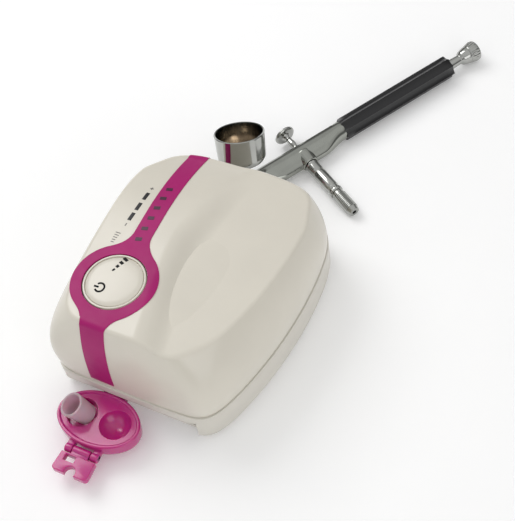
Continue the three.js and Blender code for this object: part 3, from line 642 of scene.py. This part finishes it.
def band_rows():
    """Rows of the band from front to rear.

    Each holds a function of x giving a point on the case, the outer and the inner distance from the band's
    centre line, and where that line is.
    """
    rows = []
    for stage in band_stages:
        y = end_point(BAND_X, stage, False).y
        rows.append((end_row(stage, False), half_plan(y), 0, band_x(y)))
    places = []
    y = end_point(BAND_X, 1, False).y + 0.5
    while y < BUTTON_Y - RING_INNER - 0.6:
        places.append(y)
        y += 0.75
    places += [BUTTON_Y + RING_INNER * math.sin(math.radians(d)) for d in range(-90, 91, 5)]
    y = BUTTON_Y + RING_INNER + 0.75
    rear_end = end_point(BAND_X, 1, True).y - 0.6
    while y < rear_end:
        places.append(y)
        y += 0.75 if y < -5 else 2.0
    for y in places:
        hole = math.sqrt(max(0, RING_INNER**2 - (y - BUTTON_Y) ** 2))
        rows.append((top_row(y), half_plan(y), hole, band_x(y)))
    for stage in reversed(band_stages):
        y = end_point(BAND_X, stage, True).y
        rows.append((end_row(stage, True), BAND_REAR / 2, 0, band_x(y)))
    return rows


def build_band():
    rows = band_rows()
    columns = 8
    halves = []
    for side in (-1, 1):
        points, faces = [], []
        for point_at, outer, hole, middle in rows:
            for j in range(columns + 1):
                x = middle + side * (hole + (outer - hole) * j / columns)
                points.append(at(*point_at(x)))
        for i in range(len(rows) - 1):
            for j in range(columns):
                a = i * (columns + 1) + j
                quad = (a, a + 1, a + columns + 2, a + columns + 1)
                faces.append(quad if side > 0 else tuple(reversed(quad)))
        halves.append(mesh_of("half", points, faces))
    sheet = joined(halves, "sheet")
    work = bmesh.new()
    work.from_mesh(sheet)
    bmesh.ops.remove_doubles(work, verts=work.verts, dist=0.00001)
    bmesh.ops.recalc_face_normals(work, faces=work.faces)
    if sum(f.normal.z for f in work.faces) < 0:
        bmesh.ops.reverse_faces(work, faces=work.faces)
    work.to_mesh(sheet)
    work.free()

    def modifiers(holder):
        thick = holder.modifiers.new("thick", "SOLIDIFY")
        thick.thickness = 0.9 * MM
        thick.offset = -1
        bevel = holder.modifiers.new("bevel", "BEVEL")
        bevel.width = 0.18 * MM
        bevel.segments = 3
        bevel.limit_method = "ANGLE"
        bevel.angle_limit = math.radians(60)

    mesh = evaluated(sheet, modifiers)
    new_piece("trim_band_skin", mesh, "casing", [magenta], ["trim_band"], 50)


build_band()


# ---------------------------------------------------------------- flat marks
def ribbon(path, width):
    """A flat outline of constant width along a path of 2D points: pairs of left and right points."""
    pairs = []
    last = len(path) - 1
    for i, p in enumerate(path):
        before = path[max(0, i - 1)]
        after = path[min(last, i + 1)]
        along = (after - before).normalized()
        across = Vector((-along.y, along.x)) * width / 2
        pairs.append((p + across, p - across))
    return pairs


MARK_SINK = 0.12  # how deep a mark is let into the surface


def mark_mesh(pairs, place, thickness=0.06):
    """A thin raised mark built from ribbon pairs, set on a surface by place(x, y, height)."""
    points = []
    for left, right in pairs:
        for p in (left, right):
            points.append(place(p.x, p.y, thickness))
        for p in (right, left):
            points.append(place(p.x, p.y, -MARK_SINK))
    faces = ring_faces(len(pairs), 4, False)
    faces.append((0, 3, 2, 1))
    end = 4 * (len(pairs) - 1)
    faces.append((end, end + 1, end + 2, end + 3))
    return outward(mesh_of("mark", points, faces))


def bar(x0, y0, x1, y1, width, place, steps=4, thickness=0.06):
    a, b = Vector((x0, y0)), Vector((x1, y1))
    path = [a.lerp(b, i / steps) for i in range(steps + 1)]
    return mark_mesh(ribbon(path, width), place, thickness=thickness)


# ---------------------------------------------------------------- the rocking button
DOME = 1.3
GROOVE_RADIUS = 12.5


def dome_height(radius):
    return DOME * (1 - (radius / GROOVE_RADIUS) ** 2) ** 0.8 * 0.75 + 0.25


def build_button():
    profile = [(-4.6, 0.02), (-4.6, 15.3), (-3.4, 15.3), (-3.4, BUTTON_RADIUS), (-0.2, BUTTON_RADIUS)]
    profile += [(0.12, BUTTON_RADIUS - 0.12), (0.25, BUTTON_RADIUS - 0.4), (0.2, GROOVE_RADIUS + 0.3)]
    profile += [(-0.7, GROOVE_RADIUS + 0.12), (-0.75, GROOVE_RADIUS - 0.1), (-0.1, GROOVE_RADIUS - 0.22)]
    for i in range(1, 13):
        radius = (GROOVE_RADIUS - 0.35) * (1 - i / 12) + 0.02
        profile.append((dome_height(radius), radius))
    mesh = lathe("button", profile, lambda along, x, y: on_button(x, y, along), 120)
    new_piece("button_cap", mesh, "button", [pearl], ["mode_power_button"], 40)

    def on_dome(x, y, height):
        return on_button(x, y, dome_height(math.hypot(x, y)) + height)

    centre = Vector((-3.8, -5.2))
    gap = math.radians(38)
    sweep = [math.pi + gap + (2 * math.pi - 2 * gap) * i / 40 for i in range(41)]
    arc = [centre + Vector((math.cos(t), math.sin(t))) * 2.05 for t in sweep]
    marks = [mark_mesh(ribbon(arc, 0.85), on_dome)]
    marks.append(bar(centre.x - 2.8, centre.y, centre.x - 0.5, centre.y, 0.85, on_dome))
    along = Vector((0.4, 0.917))
    up = Vector((-along.y, along.x))
    for i in range(4):
        foot = Vector((-2.2, 4.4)) + along * 2.3 * i
        tip = foot + up * (0.9 + 0.55 * i)
        marks.append(bar(foot.x, foot.y, tip.x, tip.y, 1.4, on_dome))
    mesh = joined(marks, "button_icons")
    new_piece("button_icons", mesh, "button", [ink], sharp=30)


build_button()


# ---------------------------------------------------------------- lights and marks on the case
def on_top(x, y, height):
    return at(x, y, top_z(x, y) + height)


def on_band(x, y, height):
    return on_top(x, y, height + BAND_PROUD)


def build_lights():
    for i, y in enumerate(LED_YS):
        path = [Vector((LED_X, y - LED_HALF_LENGTH + 2 * LED_HALF_LENGTH * k / 8)) for k in range(9)]
        pairs = ribbon(path, 1.75)
        mesh = bevelled(mark_mesh(pairs, on_top, thickness=0.08), 0.05, 2)
        new_piece(f"light_{i + 1}", mesh, "casing", [lens], [f"light_lens_{i + 1}"], 40)
    marks = [bar(LED_X, LED_YS[0] - 5.6, LED_X, LED_YS[0] - 4.0, 0.45, on_top)]
    plus_y = LED_YS[2] + 5.2
    marks.append(bar(LED_X, plus_y - 0.8, LED_X, plus_y + 0.8, 0.45, on_top))
    marks.append(bar(LED_X - 0.8, plus_y, LED_X + 0.8, plus_y, 0.45, on_top, thickness=0.065))
    for i in range(5):
        y = -15 + 1.3 * i
        marks.append(bar(LED_X - 1.6 - 0.12 * i, y, LED_X - 0.2 + 0.12 * i, y, 0.4, on_top))
    new_piece("level_marks", joined(marks, "level_marks"), "casing", [grey_ink], sharp=30)
    marks = []
    for i in range(6):
        y = -10 + 6.1 * i
        x = band_x(y)
        marks.append(bar(x - 2.2, y - 0.4, x + 0.6, y + 0.4, 1.9, on_band))
    new_piece("band_marks", joined(marks, "band_marks"), "casing", [dark_mark], sharp=30)


build_lights()


# ---------------------------------------------------------------- base tray
def build_base():
    rim_z = SEAM_Z - GAP
    rings = []
    profile = [(FOOT_HEIGHT, 0.9), (FOOT_HEIGHT + 0.25, 0.25), (FOOT_HEIGHT + 0.9, 0)]
    profile += [(7.5, 0), (12.5, 0), (rim_z - 0.45, 0), (rim_z - 0.12, 0.12), (rim_z, 0.45)]
    profile += [(rim_z, LIP + WALL), (FOOT_HEIGHT + 2, LIP + WALL)]
    for z, back in profile:
        rings.append([at(p.x, p.y, z) for p in (inset(a, back - LIP) for a in ANGLES)])
    solid = rings_mesh("base", rings)
    block_x = (HOLDER_X - 22.1, HOLDER_X + 22.1)
    pocket = box_mesh("pocket_block", block_x, (-58.2, -1.4), (FOOT_HEIGHT, 14.4))
    tools = [
        box_mesh("pocket", (HOLDER_X - 20.5, HOLDER_X + 20.5), (-75, -3), (4.1, 13)),
        box_mesh("arch", (-36.6, 31.5), (-76, -57.5), (-1, 13)),  # 5.1 further left than in the CAD model
        box_mesh("socket", (9.2, 18.8), (44, 64), (6.7, 15.3)),
        lathe("outlet", [(44, 3.2), (64, 3.2)], lambda along, x, z: at(x - 20.5, along, z + 11), 32),
    ]
    mesh = boolean(solid, [pocket], "UNION")
    mesh = boolean(mesh, tools, "DIFFERENCE")
    new_piece("base_skin", mesh, "casing", [pearl_base], ["base_tray"], 30)


build_base()


# ---------------------------------------------------------------- pull-out holder
WELL_X = HOLDER_X - 8.4
WELL_RADIUS = 7.0
WELL_DEPTH = 4.4
BOWL_X = HOLDER_X + 8
BOWL_RADIUS = 7
BOWL_DEPTH = 5.3


def dip(x, y):
    """How far the top lies under the holder's floor: a round well on the left, a bowl on the right."""
    well = math.hypot(x - WELL_X, y - (HOLDER_Y + 0.4))
    depth = WELL_DEPTH * (1 - smoothstep(well, 6.45, WELL_RADIUS))
    bowl = math.hypot(x - BOWL_X, y - (HOLDER_Y + 0.5))
    if bowl < BOWL_RADIUS:
        depth = max(depth, BOWL_DEPTH * (1 - (bowl / BOWL_RADIUS) ** 2) ** 0.75)
    return depth


def hinge_barrel(name, x):
    """A round length of the fork's hinge between two limits of x."""
    profile = softened([(x[0], 0.01), (x[0], 2), (x[1], 2), (x[1], 0.01)], 0.4)
    return lathe(name, profile, lambda along, a, b: at(along, FORK_HINGE[1] + a, FORK_HINGE[2] + b), 32)


def build_holder():
    floor_z = HOLDER_TOP - 0.8
    sides = 260
    rings = []

    def oval(back, z):
        ring = []
        for j in range(sides):
            t = 2 * math.pi * j / sides
            x = HOLDER_X + (HOLDER_A - back) * math.cos(t)
            y = HOLDER_Y + (HOLDER_B - back) * math.sin(t)
            ring.append(at(x, y, z(x, y)))
        rings.append(ring)

    for back, height in ((1.6, 0), (0.5, 0.15), (0.1, 0.8), (0, 2), (0, 4)):
        oval(back, lambda x, y, h=height: HOLDER_BOTTOM + h)
    for back, height in ((0.05, -0.5), (0.35, -0.1), (0.8, 0), (1.25, -0.1), (1.6, -0.45), (1.9, -0.75)):
        oval(back, lambda x, y, h=height: HOLDER_TOP + h)
    rows = 56
    for row in range(1, rows + 1):
        t = row / rows
        ring = []
        for j in range(sides):
            turn = 2 * math.pi * j / sides
            x = HOLDER_X + (HOLDER_A - 2.2) * (1 - t * 0.997) * math.cos(turn)
            y = HOLDER_Y + (HOLDER_B - 2.2) * (1 - t * 0.997) * math.sin(turn)
            ring.append(at(x, y, floor_z - dip(x, y)))
        rings.append(ring)
    tray = rings_mesh("tray", rings)
    neck_x = (HOLDER_X - 5.5, HOLDER_X + 5.5)
    plate_x = (HOLDER_X - 19.5, HOLDER_X + 19.5)
    parts = [tray]
    parts.append(box_mesh("neck", neck_x, (HOLDER_Y + 11.2, -48), (6, 10.2), 0.8))
    parts.append(box_mesh("plate", plate_x, (-54, -46), (HOLDER_BOTTOM, 8.6), 0.5))
    for start in (-8, 4.6):
        x = (HOLDER_X + start, HOLDER_X + start + 3.4)
        parts.append(box_mesh("lug", x, (FORK_HINGE[1], HOLDER_Y - 11), (6.6, 9.4), 0.5))
        parts.append(hinge_barrel("knuckle", x))
    mesh = joined(parts, "holder_tray")
    new_piece("holder_tray", mesh, "holder", [holder_pink], ["holder"], 32)


def flat_plate(name, outer, holes, z0, z1, round_by):
    """A plate with holes and rounded edges, from outlines of 2D points."""
    curve = bpy.data.curves.new(name, "CURVE")
    curve.dimensions = "2D"
    curve.fill_mode = "BOTH"
    for outline_points in [outer, *holes]:
        spline = curve.splines.new("POLY")
        spline.points.add(len(outline_points) - 1)
        for point, (x, y) in zip(spline.points, outline_points):
            point.co = (x * MM, y * MM, 0, 1)
        spline.use_cyclic_u = True
    curve.extrude = ((z1 - z0) / 2 - round_by) * MM
    curve.bevel_depth = round_by * MM
    curve.bevel_resolution = 3
    curve.offset = -round_by * MM
    holder = bpy.data.objects.new(name, curve)
    bpy.context.scene.collection.objects.link(holder)
    graph = bpy.context.evaluated_depsgraph_get()
    mesh = bpy.data.meshes.new_from_object(holder.evaluated_get(graph))
    bpy.data.objects.remove(holder)
    mesh.transform(Matrix.Translation(at(0, 0, (z0 + z1) / 2)))
    work = bmesh.new()
    work.from_mesh(mesh)
    bmesh.ops.remove_doubles(work, verts=work.verts, dist=0.000005)
    bmesh.ops.recalc_face_normals(work, faces=work.faces)
    work.to_mesh(mesh)
    work.free()
    return mesh


def arc_points(centre, radius, start, end, steps):
    """Points on an arc between two angles in degrees."""
    result = []
    for i in range(steps + 1):
        t = math.radians(start + (end - start) * i / steps)
        result.append((centre[0] + radius * math.cos(t), centre[1] + radius * math.sin(t)))
    return result


def build_fork():
    back = FORK_HINGE[1] - 2.6
    tip = FORK_HINGE[1] - 11.5
    outer = [(HOLDER_X + 8.2, back), (HOLDER_X - 8.2, back)]
    outer += arc_points((HOLDER_X - 7.0, tip + 1.6), 1.6, 180, 270, 6)
    outer += arc_points((HOLDER_X, tip + 1.2), 2.6, 207, -27, 16)
    outer += arc_points((HOLDER_X + 7.0, tip + 1.6), 1.6, 270, 360, 6)
    window = [
        (HOLDER_X - 5.6, back - 3.6),
        (HOLDER_X - 0.6, back - 3.6),
        (HOLDER_X - 0.6, back - 0.8),
        (HOLDER_X - 5.6, back - 0.8),
    ]
    parts = [flat_plate("fork_plate", outer, [window], 6.2, 9.6, 0.35)]
    ends = (HOLDER_X - 4.2, HOLDER_X + 4.2)
    parts.append(hinge_barrel("barrel", ends))
    parts.append(box_mesh("web", ends, (FORK_HINGE[1] - 3.2, FORK_HINGE[1]), (6.7, 9.3), 0.3))
    new_piece("fork", joined(parts, "fork"), "fork", [holder_pink], ["holder_fork"], 32)


def build_sleeve():
    foot = Vector((WELL_X + 1.6, HOLDER_Y + 1, 9.2))
    aim = Vector((1, 0, 0)).rotation_difference(Vector((-0.35, -0.22, 0.91)).normalized())

    def place(along, a, b):
        return at(*(foot + aim @ Vector((along, a, b))))

    wall = [(0, 3.6), (0, 4.6), (4, 4.95), (8, 5.3), (11.5, 5.6), (11.5, 4.5), (8, 4.3), (4, 3.95)]
    mesh = lathe("sleeve", softened(wall, 0.35, closed=True), place, 64, closed_loop=True)
    piece = new_piece("sleeve", mesh, "holder", [silicone], ["silicone_sleeve"], 40)
    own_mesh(piece)


build_holder()
build_fork()
build_sleeve()


# ---------------------------------------------------------------- airbrush
BRUSH_FOOT = (-7.6, 65.6)
GRIP_RADIUS = 5.8
VALVE_RADIUS = 3.3
VALVE_REACH = 43
TRIGGER_X = 33
GRIP_START = 57
GRIP_END = 124
TAIL_END = 142
CUP_DIRECTION = Vector((0.215, -0.851, 0.389)).normalized()

brush_roll = math.asin((GRIP_RADIUS - VALVE_RADIUS) / VALVE_REACH)
brush_axes = Matrix(((1, 0, 0), (0, 0, 1), (0, -1, 0)))
brush_heading = Matrix.Rotation(math.radians(60), 3, "Z")
brush_turn = brush_heading @ brush_axes @ Matrix.Rotation(brush_roll, 3, "X")
brush_origin = Vector((*BRUSH_FOOT, GRIP_RADIUS + 0.02))


def on_brush(x, y, z):
    """A place in the airbrush's own axes: x to the tail, z to the trigger, y down as it lies on its side."""
    return at(*(brush_origin + brush_turn @ Vector((x, y, z))))


def along_valve(along, a, b):
    return on_brush(TRIGGER_X + a, b, -along)


def along_trigger(along, a, b):
    return on_brush(TRIGGER_X + a, b, along)


cup_turn = Vector((1, 0, 0)).rotation_difference(CUP_DIRECTION)


def along_cup(along, a, b):
    return on_brush(*(cup_turn @ Vector((along, a, b))))


KEEL_DEPTH = 2.6


def build_body():
    """The bar with its keel: a round bar whose lower side deepens towards the air valve's boss."""
    stations = []
    x = -3.4
    while x < GRIP_START + 1:
        stations.append(x)
        x += 0.8
    rings = []
    sides = 72
    for x in [-3.41, *stations, GRIP_START + 6]:
        radius = 4.1 + 0.75 * smoothstep(x, -3.4, 4)
        if x > GRIP_START:
            radius = 4.6
        keel_share = smoothstep(x, 4, 20) * (1 - smoothstep(x, 42, 56))
        ring = []
        for j in range(sides):
            t = 2 * math.pi * j / sides
            across, up = math.cos(t), math.sin(t)
            y, z = radius * across, radius * up
            if up < 0:
                z -= KEEL_DEPTH * keel_share * (-up) ** 0.5
                squeeze = 1 - 0.38 * smoothstep(-up, 0.1, 0.9) * keel_share
                flat = radius * math.copysign(abs(across) ** 0.55, across) * squeeze
                y = flat * keel_share + radius * across * (1 - keel_share)
            well = smoothstep(x, 36, 38.5) * (1 - smoothstep(x, 52, 56))
            if up > 0.5:
                z -= well * (z - radius * 0.62) * 0.7
            ring.append(on_brush(x, y, z))
        rings.append(ring)
    bar_mesh = rings_mesh("bar", rings)
    profile = softened([(1, 0.01), (1, 5.4), (5.5, 4.6), (8, 4.2), (8, 0.01)], 0.8)
    boss = lathe("boss", profile, along_valve, 64)
    seat = lathe("seat", softened([(2, 0.01), (2, 3.4), (8.4, 3.4), (8.4, 0.01)], 0.4), along_cup, 48)
    solid = boolean(bar_mesh, [boss, seat], "UNION")
    well = box_mesh("well", (TRIGGER_X - 3.5, TRIGGER_X + 5.9), (-1.8, 1.8), (-3.9, 8), place=on_brush)
    nose_bore = lathe("nose_bore", [(-5, 1.5), (-1.2, 1.5)], on_brush, 32)
    solid = boolean(solid, [well, nose_bore], "DIFFERENCE")
    # The bar takes the darker copy of the chrome: painted shade.
    new_piece("brush_body", solid, "airbrush", [painted_shade_chrome_bar], ["airbrush_body"], 30)


def build_cup():
    outer = [(8.8, 1.2), (8.8, 2.9), (10.2, 3.1), (11.5, 4.4), (13.2, 7.8), (14.6, 10.2)]
    outer += [(16.8, 11.55), (28.4, 12.0)]
    lip = [(29.0, 12.15), (29.35, 11.85), (29.2, 11.35)]
    inner = [(28.2, 11.25), (17.2, 10.85), (15, 9.2), (12.6, 4.4)]
    wall = softened(outer, 0.9) + lip + softened(inner, 0.9)
    mesh = lathe("cup", wall, along_cup, 128, closed_loop=True)
    piece = new_piece("cup", mesh, "airbrush", [chrome, cup_inside_brown], ["paint_cup"], 45)
    split = len(softened(outer, 0.9)) + len(lip) + 2
    last = len(wall)
    for index, polygon in enumerate(piece.data.polygons):
        ring = index // 128
        polygon.material_index = 1 if split <= ring < last else 0


def build_coil(name, node, start, end, coil, wire, turns, place, fixed):
    """A spring along one of the airbrush's directions."""
    steps = turns * 28
    rings = []
    for i in range(steps + 1):
        turn = 2 * math.pi * turns * i / steps
        along = start + (end - start) * i / steps
        ring = []
        for j in range(10):
            t = 2 * math.pi * j / 10
            radius = coil + wire * math.cos(t)
            ring.append(place(along + wire * math.sin(t), radius * math.cos(turn), radius * math.sin(turn)))
        rings.append(ring)
    piece = new_piece(name, rings_mesh(name, rings), "airbrush", [steel], [node], 40)
    axis = (place(end, 0, 0) - place(start, 0, 0)).normalized()
    tuple(place(fixed, 0, 0))
    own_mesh(piece)


def build_trigger():
    stem = [(-0.9, 0.01), (-0.9, 1.45), (5.6, 1.45), (7.6, 1.9), (9.2, 1.75)]
    stem += [(11.5, 1.4), (13.3, 2.2), (13.5, 4.6)]
    disc = [(14.1, 5.3), (14.9, 5.4), (15.25, 4.7), (14.7, 2.5), (14.55, 0.02)]
    mesh = lathe("trigger", softened(stem + disc, 0.5), along_trigger, 64)
    new_piece("trigger_lever", mesh, "trigger", [chrome], ["trigger"], 45)


def build_valve():
    stem = [(8.4, 1.2), (8.4, 3.6), (9.4, VALVE_RADIUS), (14, 3.25), (14.3, 2.95), (14.9, 2.95), (15.2, 3.25)]
    stem += [(25.4, VALVE_RADIUS), (25.7, 3.0), (27, 3.0), (27, 2.1)]
    mesh = lathe("stem", softened(stem, 0.15, 2), along_valve, 64)
    new_piece("valve_stem", mesh, "airbrush", [chrome], ["valve_body"], 35)
    profile = [(25.8, 0.02), (25.8, 1.75), (27.3, 1.75), (27.35, 3.35), (27.6, 3.5), (28.8, 3.5)]
    profile += [(29.05, 3.3), (29.1, 2.7), (30.9, 2.7), (31, 3.1)]
    groove = 31.0
    while groove < 41.0:
        profile += [(groove + 0.15, 2.85), (groove + 0.42, VALVE_RADIUS), (groove + 0.62, VALVE_RADIUS)]
        groove += 0.85
    profile += [(41.7, 2.85), (42.5, 2.8), (VALVE_REACH, 2.5), (VALVE_REACH, 1.1), (40, 1.0), (40, 0.02)]

    def knurled(along, radius, angle):
        if 27.4 < along < 29.0 and radius > 3.2:
            return radius - 0.14 * (0.5 + 0.5 * math.cos(24 * angle))
        return radius

    mesh = lathe("connector", profile, along_valve, 96, radius_at=knurled)
    new_piece("hose_thread", mesh, "airbrush", [chrome], ["hose_connector"], 35)


FLUTES = 8


def fluted(along, radius, angle):
    """The grip's radius at an angle: narrow ridges with wide hollows between them."""
    if radius < 5:
        return radius
    wave = abs(math.sin(FLUTES * angle / 2))
    return radius - 0.85 * wave**0.8


def build_grip():
    profile = [(GRIP_START + 5, 3.7), (GRIP_START, 3.7), (GRIP_START, 5.3), (GRIP_START + 0.7, GRIP_RADIUS)]
    steps = 12
    for i in range(1, steps):
        profile.append((GRIP_START + 0.7 + (GRIP_END - GRIP_START - 1.3) * i / steps, GRIP_RADIUS))
    profile += [(GRIP_END - 0.6, GRIP_RADIUS), (GRIP_END, 5.35), (GRIP_END, 2.3), (GRIP_END - 4, 2.2)]
    mesh = lathe("grip", profile, on_brush, 240, radius_at=fluted)
    new_piece("grip", mesh, "airbrush", [grip_black], ["grip_sleeve"], 40)


def build_tail():
    profile = [(110, 0.02), (110, 1.5), (GRIP_END + 0.4, 1.5), (GRIP_END + 0.4, 2.7), (131, 2.4)]
    profile += [(132.3, 3.6), (134.4, 4.2), (136, 4.55), (136.4, 4.3), (136.8, 4.7), (139.7, 5.3)]
    profile += [(141.3, 5.15), (TAIL_END, 4.3), (TAIL_END - 0.6, 3.2), (TAIL_END - 1.1, 0.02)]

    def knurled(along, radius, angle):
        if 136.9 < along < 141.4:
            return radius - 0.16 * (0.5 + 0.5 * math.cos(30 * angle))
        return radius

    mesh = lathe("tail", softened(profile, 0.3, 3), on_brush, 120, radius_at=knurled)
    new_piece("tail_stop", mesh, "tail", [chrome], ["tail_knob"], 35)


def build_nose():
    cap = [(-10.6, 1), (-10.6, 1.6), (-8.6, 2.6), (-7.2, 2.6), (-7.2, 2.1), (-8.4, 1.5)]
    mesh = lathe("cap", softened(cap, 0.15, 2, closed=True), on_brush, 56, closed_loop=True)
    new_piece("nose_cap", mesh, "airbrush", [chrome], ["needle_cap"], 35)
    cone = [(-9.1, 0.55), (-8.2, 1.2), (-6.9, 1.8), (-6.9, 3.2), (-3.8, 3.8), (-3.8, 1.5)]
    mesh = lathe("cone", softened(cone, 0.2, 2, closed=True), on_brush, 56, closed_loop=True)
    new_piece("nose_cone", mesh, "airbrush", [chrome], ["air_cap"], 35)


build_body()
build_cup()
build_trigger()
build_valve()
build_grip()
build_tail()
build_nose()
build_coil("valve_coil", "valve_spring", 15.2, 25.2, 1.45, 0.26, 6, along_valve, 25.5)
build_coil("needle_coil", "needle_spring", 62.7, 79.2, 2.2, 0.3, 8, on_brush, 79.5)


# ---------------------------------------------------------------- CAD nodes that stay, with better materials
CORNERS = ("front_left", "front_right", "rear_left", "rear_right")
KEPT = {
    rubber: [*(f"foot_{corner}" for corner in CORNERS), "diaphragm"],
    steel: [*(f"case_screw_{corner}" for corner in CORNERS), "motor", "motor_shaft", "fork_pin", "needle"],
    solder_mask: ["control_board"],
    black_plastic: [
        "power_switch", "mode_switch", "power_socket", "connecting_rod", "pump_body", "pump_head",
    ],
    brass: ["air_outlet", "eccentric", "nozzle", "valve_plunger", "needle_chuck"],
    aluminium: ["valve_plate", "spring_guide"],
    felt: ["inlet_filter"],
    silicone: ["air_tube"],
}
for material, names in KEPT.items():
    for name in names:
        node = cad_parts[name]
        node.data.materials.clear()
        node.data.materials.append(material.material)
        for polygon in node.data.polygons:
            polygon.use_smooth = True
        split = node.modifiers.new("edges", "EDGE_SPLIT")
        split.split_angle = math.radians(32)


# ---------------------------------------------------------------- floor, world and lights
def add_floor():
    side = 3.0
    points = [(-side, -side, 0), (side, -side, 0), (side, side, 0), (-side, side, 0)]
    mesh = mesh_of("floor", [Vector(p) for p in points], [(0, 1, 2, 3)])
    floor = bpy.data.objects.new("floor", mesh)
    bpy.context.scene.collection.objects.link(floor)
    white = plastic("floor_white", (0.93, 0.93, 0.93), 0.9, 0.0, variation=0.004)
    white.set(Emission_Color=(1, 1, 1, 1), Emission_Strength=0.13)
    mesh.materials.append(white.material)


def add_world():
    world = bpy.data.worlds.new("studio")
    bpy.context.scene.world = world
    world.use_nodes = True
    tree = world.node_tree
    background = tree.nodes["Background"]
    place = tree.nodes.new("ShaderNodeTexCoord").outputs["Generated"]
    split = tree.nodes.new("ShaderNodeSeparateXYZ")
    ramp = tree.nodes.new("ShaderNodeValToRGB")
    levels = [(0.0, 0.6), (0.1, 0.5), (0.2, 0.2), (0.42, 0.18), (0.6, 0.66), (1.0, 0.64)]
    set_stops(ramp.color_ramp, [(position, (level,) * 3) for position, level in levels])
    tree.links.new(place, split.inputs["Vector"])
    tree.links.new(split.outputs["Z"], ramp.inputs["Fac"])
    tree.links.new(ramp.outputs["Color"], background.inputs["Color"])
    background.inputs["Strength"].default_value = 1.0


def add_light(name, place, aim, size, power):
    data = bpy.data.lights.new(name, "AREA")
    data.shape = "RECTANGLE"
    data.size, data.size_y = size
    data.energy = power
    light = bpy.data.objects.new(name, data)
    bpy.context.scene.collection.objects.link(light)
    light.location = place
    light.rotation_euler = (Vector(aim) - Vector(place)).to_track_quat("-Z", "Y").to_euler()


add_floor()
add_world()
add_light("key", (-0.6, 0.2, 0.75), (0, 0, 0.02), (0.6, 0.6), 3.6)
add_light("front", (-0.2, -0.85, 0.5), (0, -0.05, 0.02), (0.8, 0.35), 0.4)
add_light("top", (0.2, 0.1, 1.2), (0, 0, 0), (1.4, 1.4), 0.9)
add_light("fill", (0.75, -0.5, 0.4), (0, 0, 0.02), (0.7, 0.5), 1.6)
bpy.context.scene.view_settings.view_transform = "Standard"
